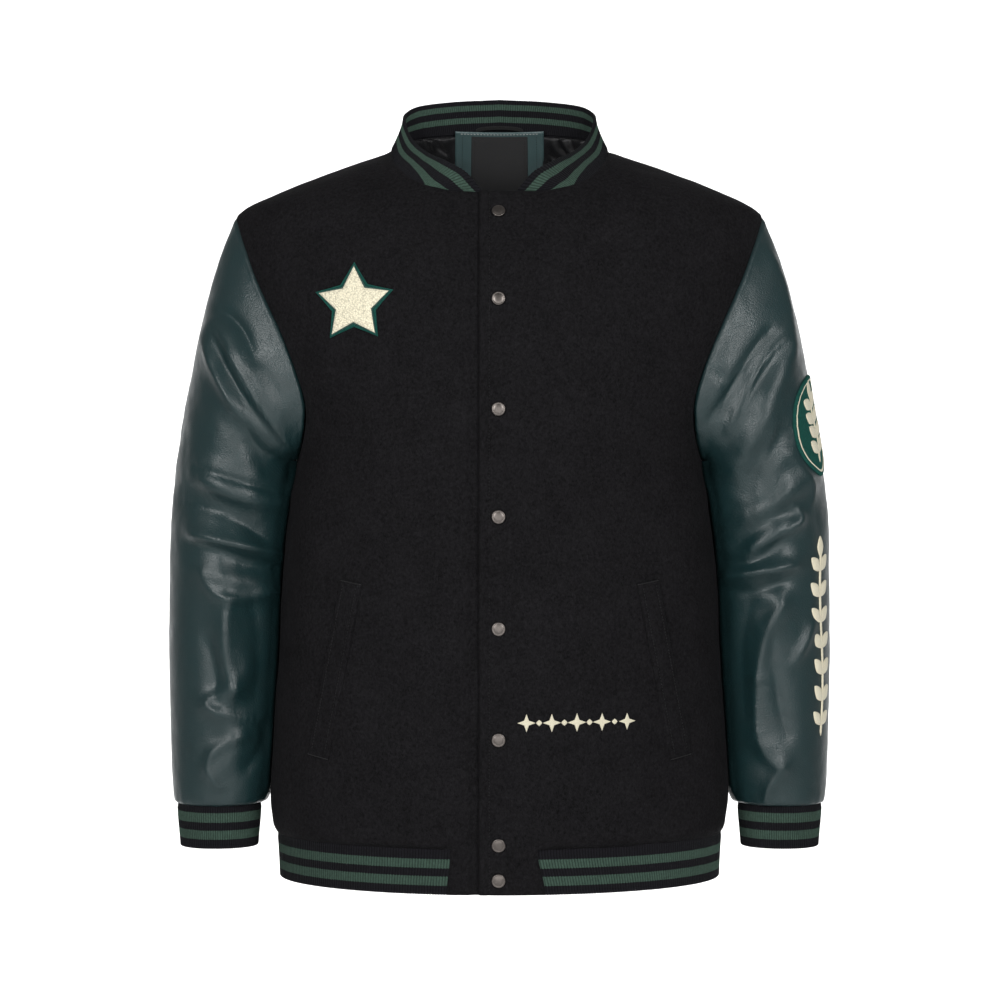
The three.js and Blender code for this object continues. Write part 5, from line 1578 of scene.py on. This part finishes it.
class JACKET_OT_stage(bpy.types.Operator):
    """Make the floor, the studio light and the camera"""

    bl_idname = "jacket.stage"
    bl_label = "Stage"

    def execute(self, context):
        scene = context.scene
        bm = bmesh.new()
        bmesh.ops.create_grid(bm, x_segments=1, y_segments=60, size=1)
        for v in bm.verts:
            run = (v.co.y + 1) * BACKDROP_RUN / 2
            bend = min(max((run - FLOOR_LENGTH) / BEND_RUN, 0), 1) * math.pi / 2
            y = min(run, FLOOR_LENGTH) + FLOOR_START_Y + BEND_RADIUS * math.sin(bend)
            z = FLOOR_Z + BEND_RADIUS * (1 - math.cos(bend)) + max(run - FLOOR_LENGTH - BEND_RUN, 0)
            v.co = (v.co.x * FLOOR_HALF_WIDTH, y, z)
        mesh = bpy.data.meshes.new("floor")
        bm.to_mesh(mesh)
        bm.free()
        floor = bpy.data.objects.new("floor", mesh)
        scene.collection.objects.link(floor)
        mesh.materials.append(finish("floor"))
        scene.world = bpy.data.worlds.new("studio")
        scene.world.use_nodes = True
        background = scene.world.node_tree.nodes["Background"]
        background.inputs["Color"].default_value = grey(1)
        background.inputs["Strength"].default_value = 0.2
        softbox("left_softbox", (-1.4, -2.3, 0.55), LIGHT_TARGET, (0.7, 1.1), 33)
        softbox("right_softbox", (1.4, -2.3, 0.55), LIGHT_TARGET, (0.7, 1.1), 31)
        softbox("low_softbox", (0, -2.9, -0.5), LIGHT_TARGET, (2.2, 1.2), 18)
        softbox("backdrop_softbox", (0, 1.0, -0.2), (0, 3.2, -0.2), (3.2, 2.4), 110)
        scene.view_settings.view_transform = "Standard"
        distance = scene.jacket_sizes.camera_distance
        camera = bpy.data.objects.new("camera", bpy.data.cameras.new("camera"))
        scene.collection.objects.link(camera)
        camera.location = (0, CHEST_Y - distance, PICTURE_Z)
        camera.rotation_euler = (math.pi / 2, 0, 0)
        camera.data.sensor_width = SENSOR_WIDTH
        camera.data.lens = SENSOR_WIDTH * distance
        camera.data.shift_x = PICTURE_SHIFT
        scene.camera = camera
        return {"FINISHED"}


class JACKET_PT_panel(bpy.types.Panel):
    bl_label = "Varsity jacket"
    bl_idname = "JACKET_PT_panel"
    bl_space_type = "VIEW_3D"
    bl_region_type = "UI"
    bl_category = "Jacket"

    def draw(self, context):
        for settings in (context.scene.jacket_sizes, context.scene.jacket_colours):
            box = self.layout.box()
            for name in settings.__annotations__:
                box.prop(settings, name)
        for operator in OPERATORS:
            self.layout.operator(operator.bl_idname)


OPERATORS = (
    JACKET_OT_body,
    JACKET_OT_sleeves,
    JACKET_OT_ribs,
    JACKET_OT_lining,
    JACKET_OT_patches,
    JACKET_OT_pockets,
    JACKET_OT_snaps,
    JACKET_OT_stage,
)
CLASSES = (JacketSizes, JacketColours, *OPERATORS, JACKET_PT_panel)


def register():
    for cls in CLASSES:
        bpy.utils.register_class(cls)
    bpy.types.Scene.jacket_sizes = bpy.props.PointerProperty(type=JacketSizes)
    bpy.types.Scene.jacket_colours = bpy.props.PointerProperty(type=JacketColours)


def unregister():
    del bpy.types.Scene.jacket_colours
    del bpy.types.Scene.jacket_sizes
    for cls in reversed(CLASSES):
        bpy.utils.unregister_class(cls)


def main():
    register()
    for operator in OPERATORS:
        getattr(bpy.ops.jacket, operator.bl_idname.split(".")[1])()


if __name__ == "__main__":
    main()
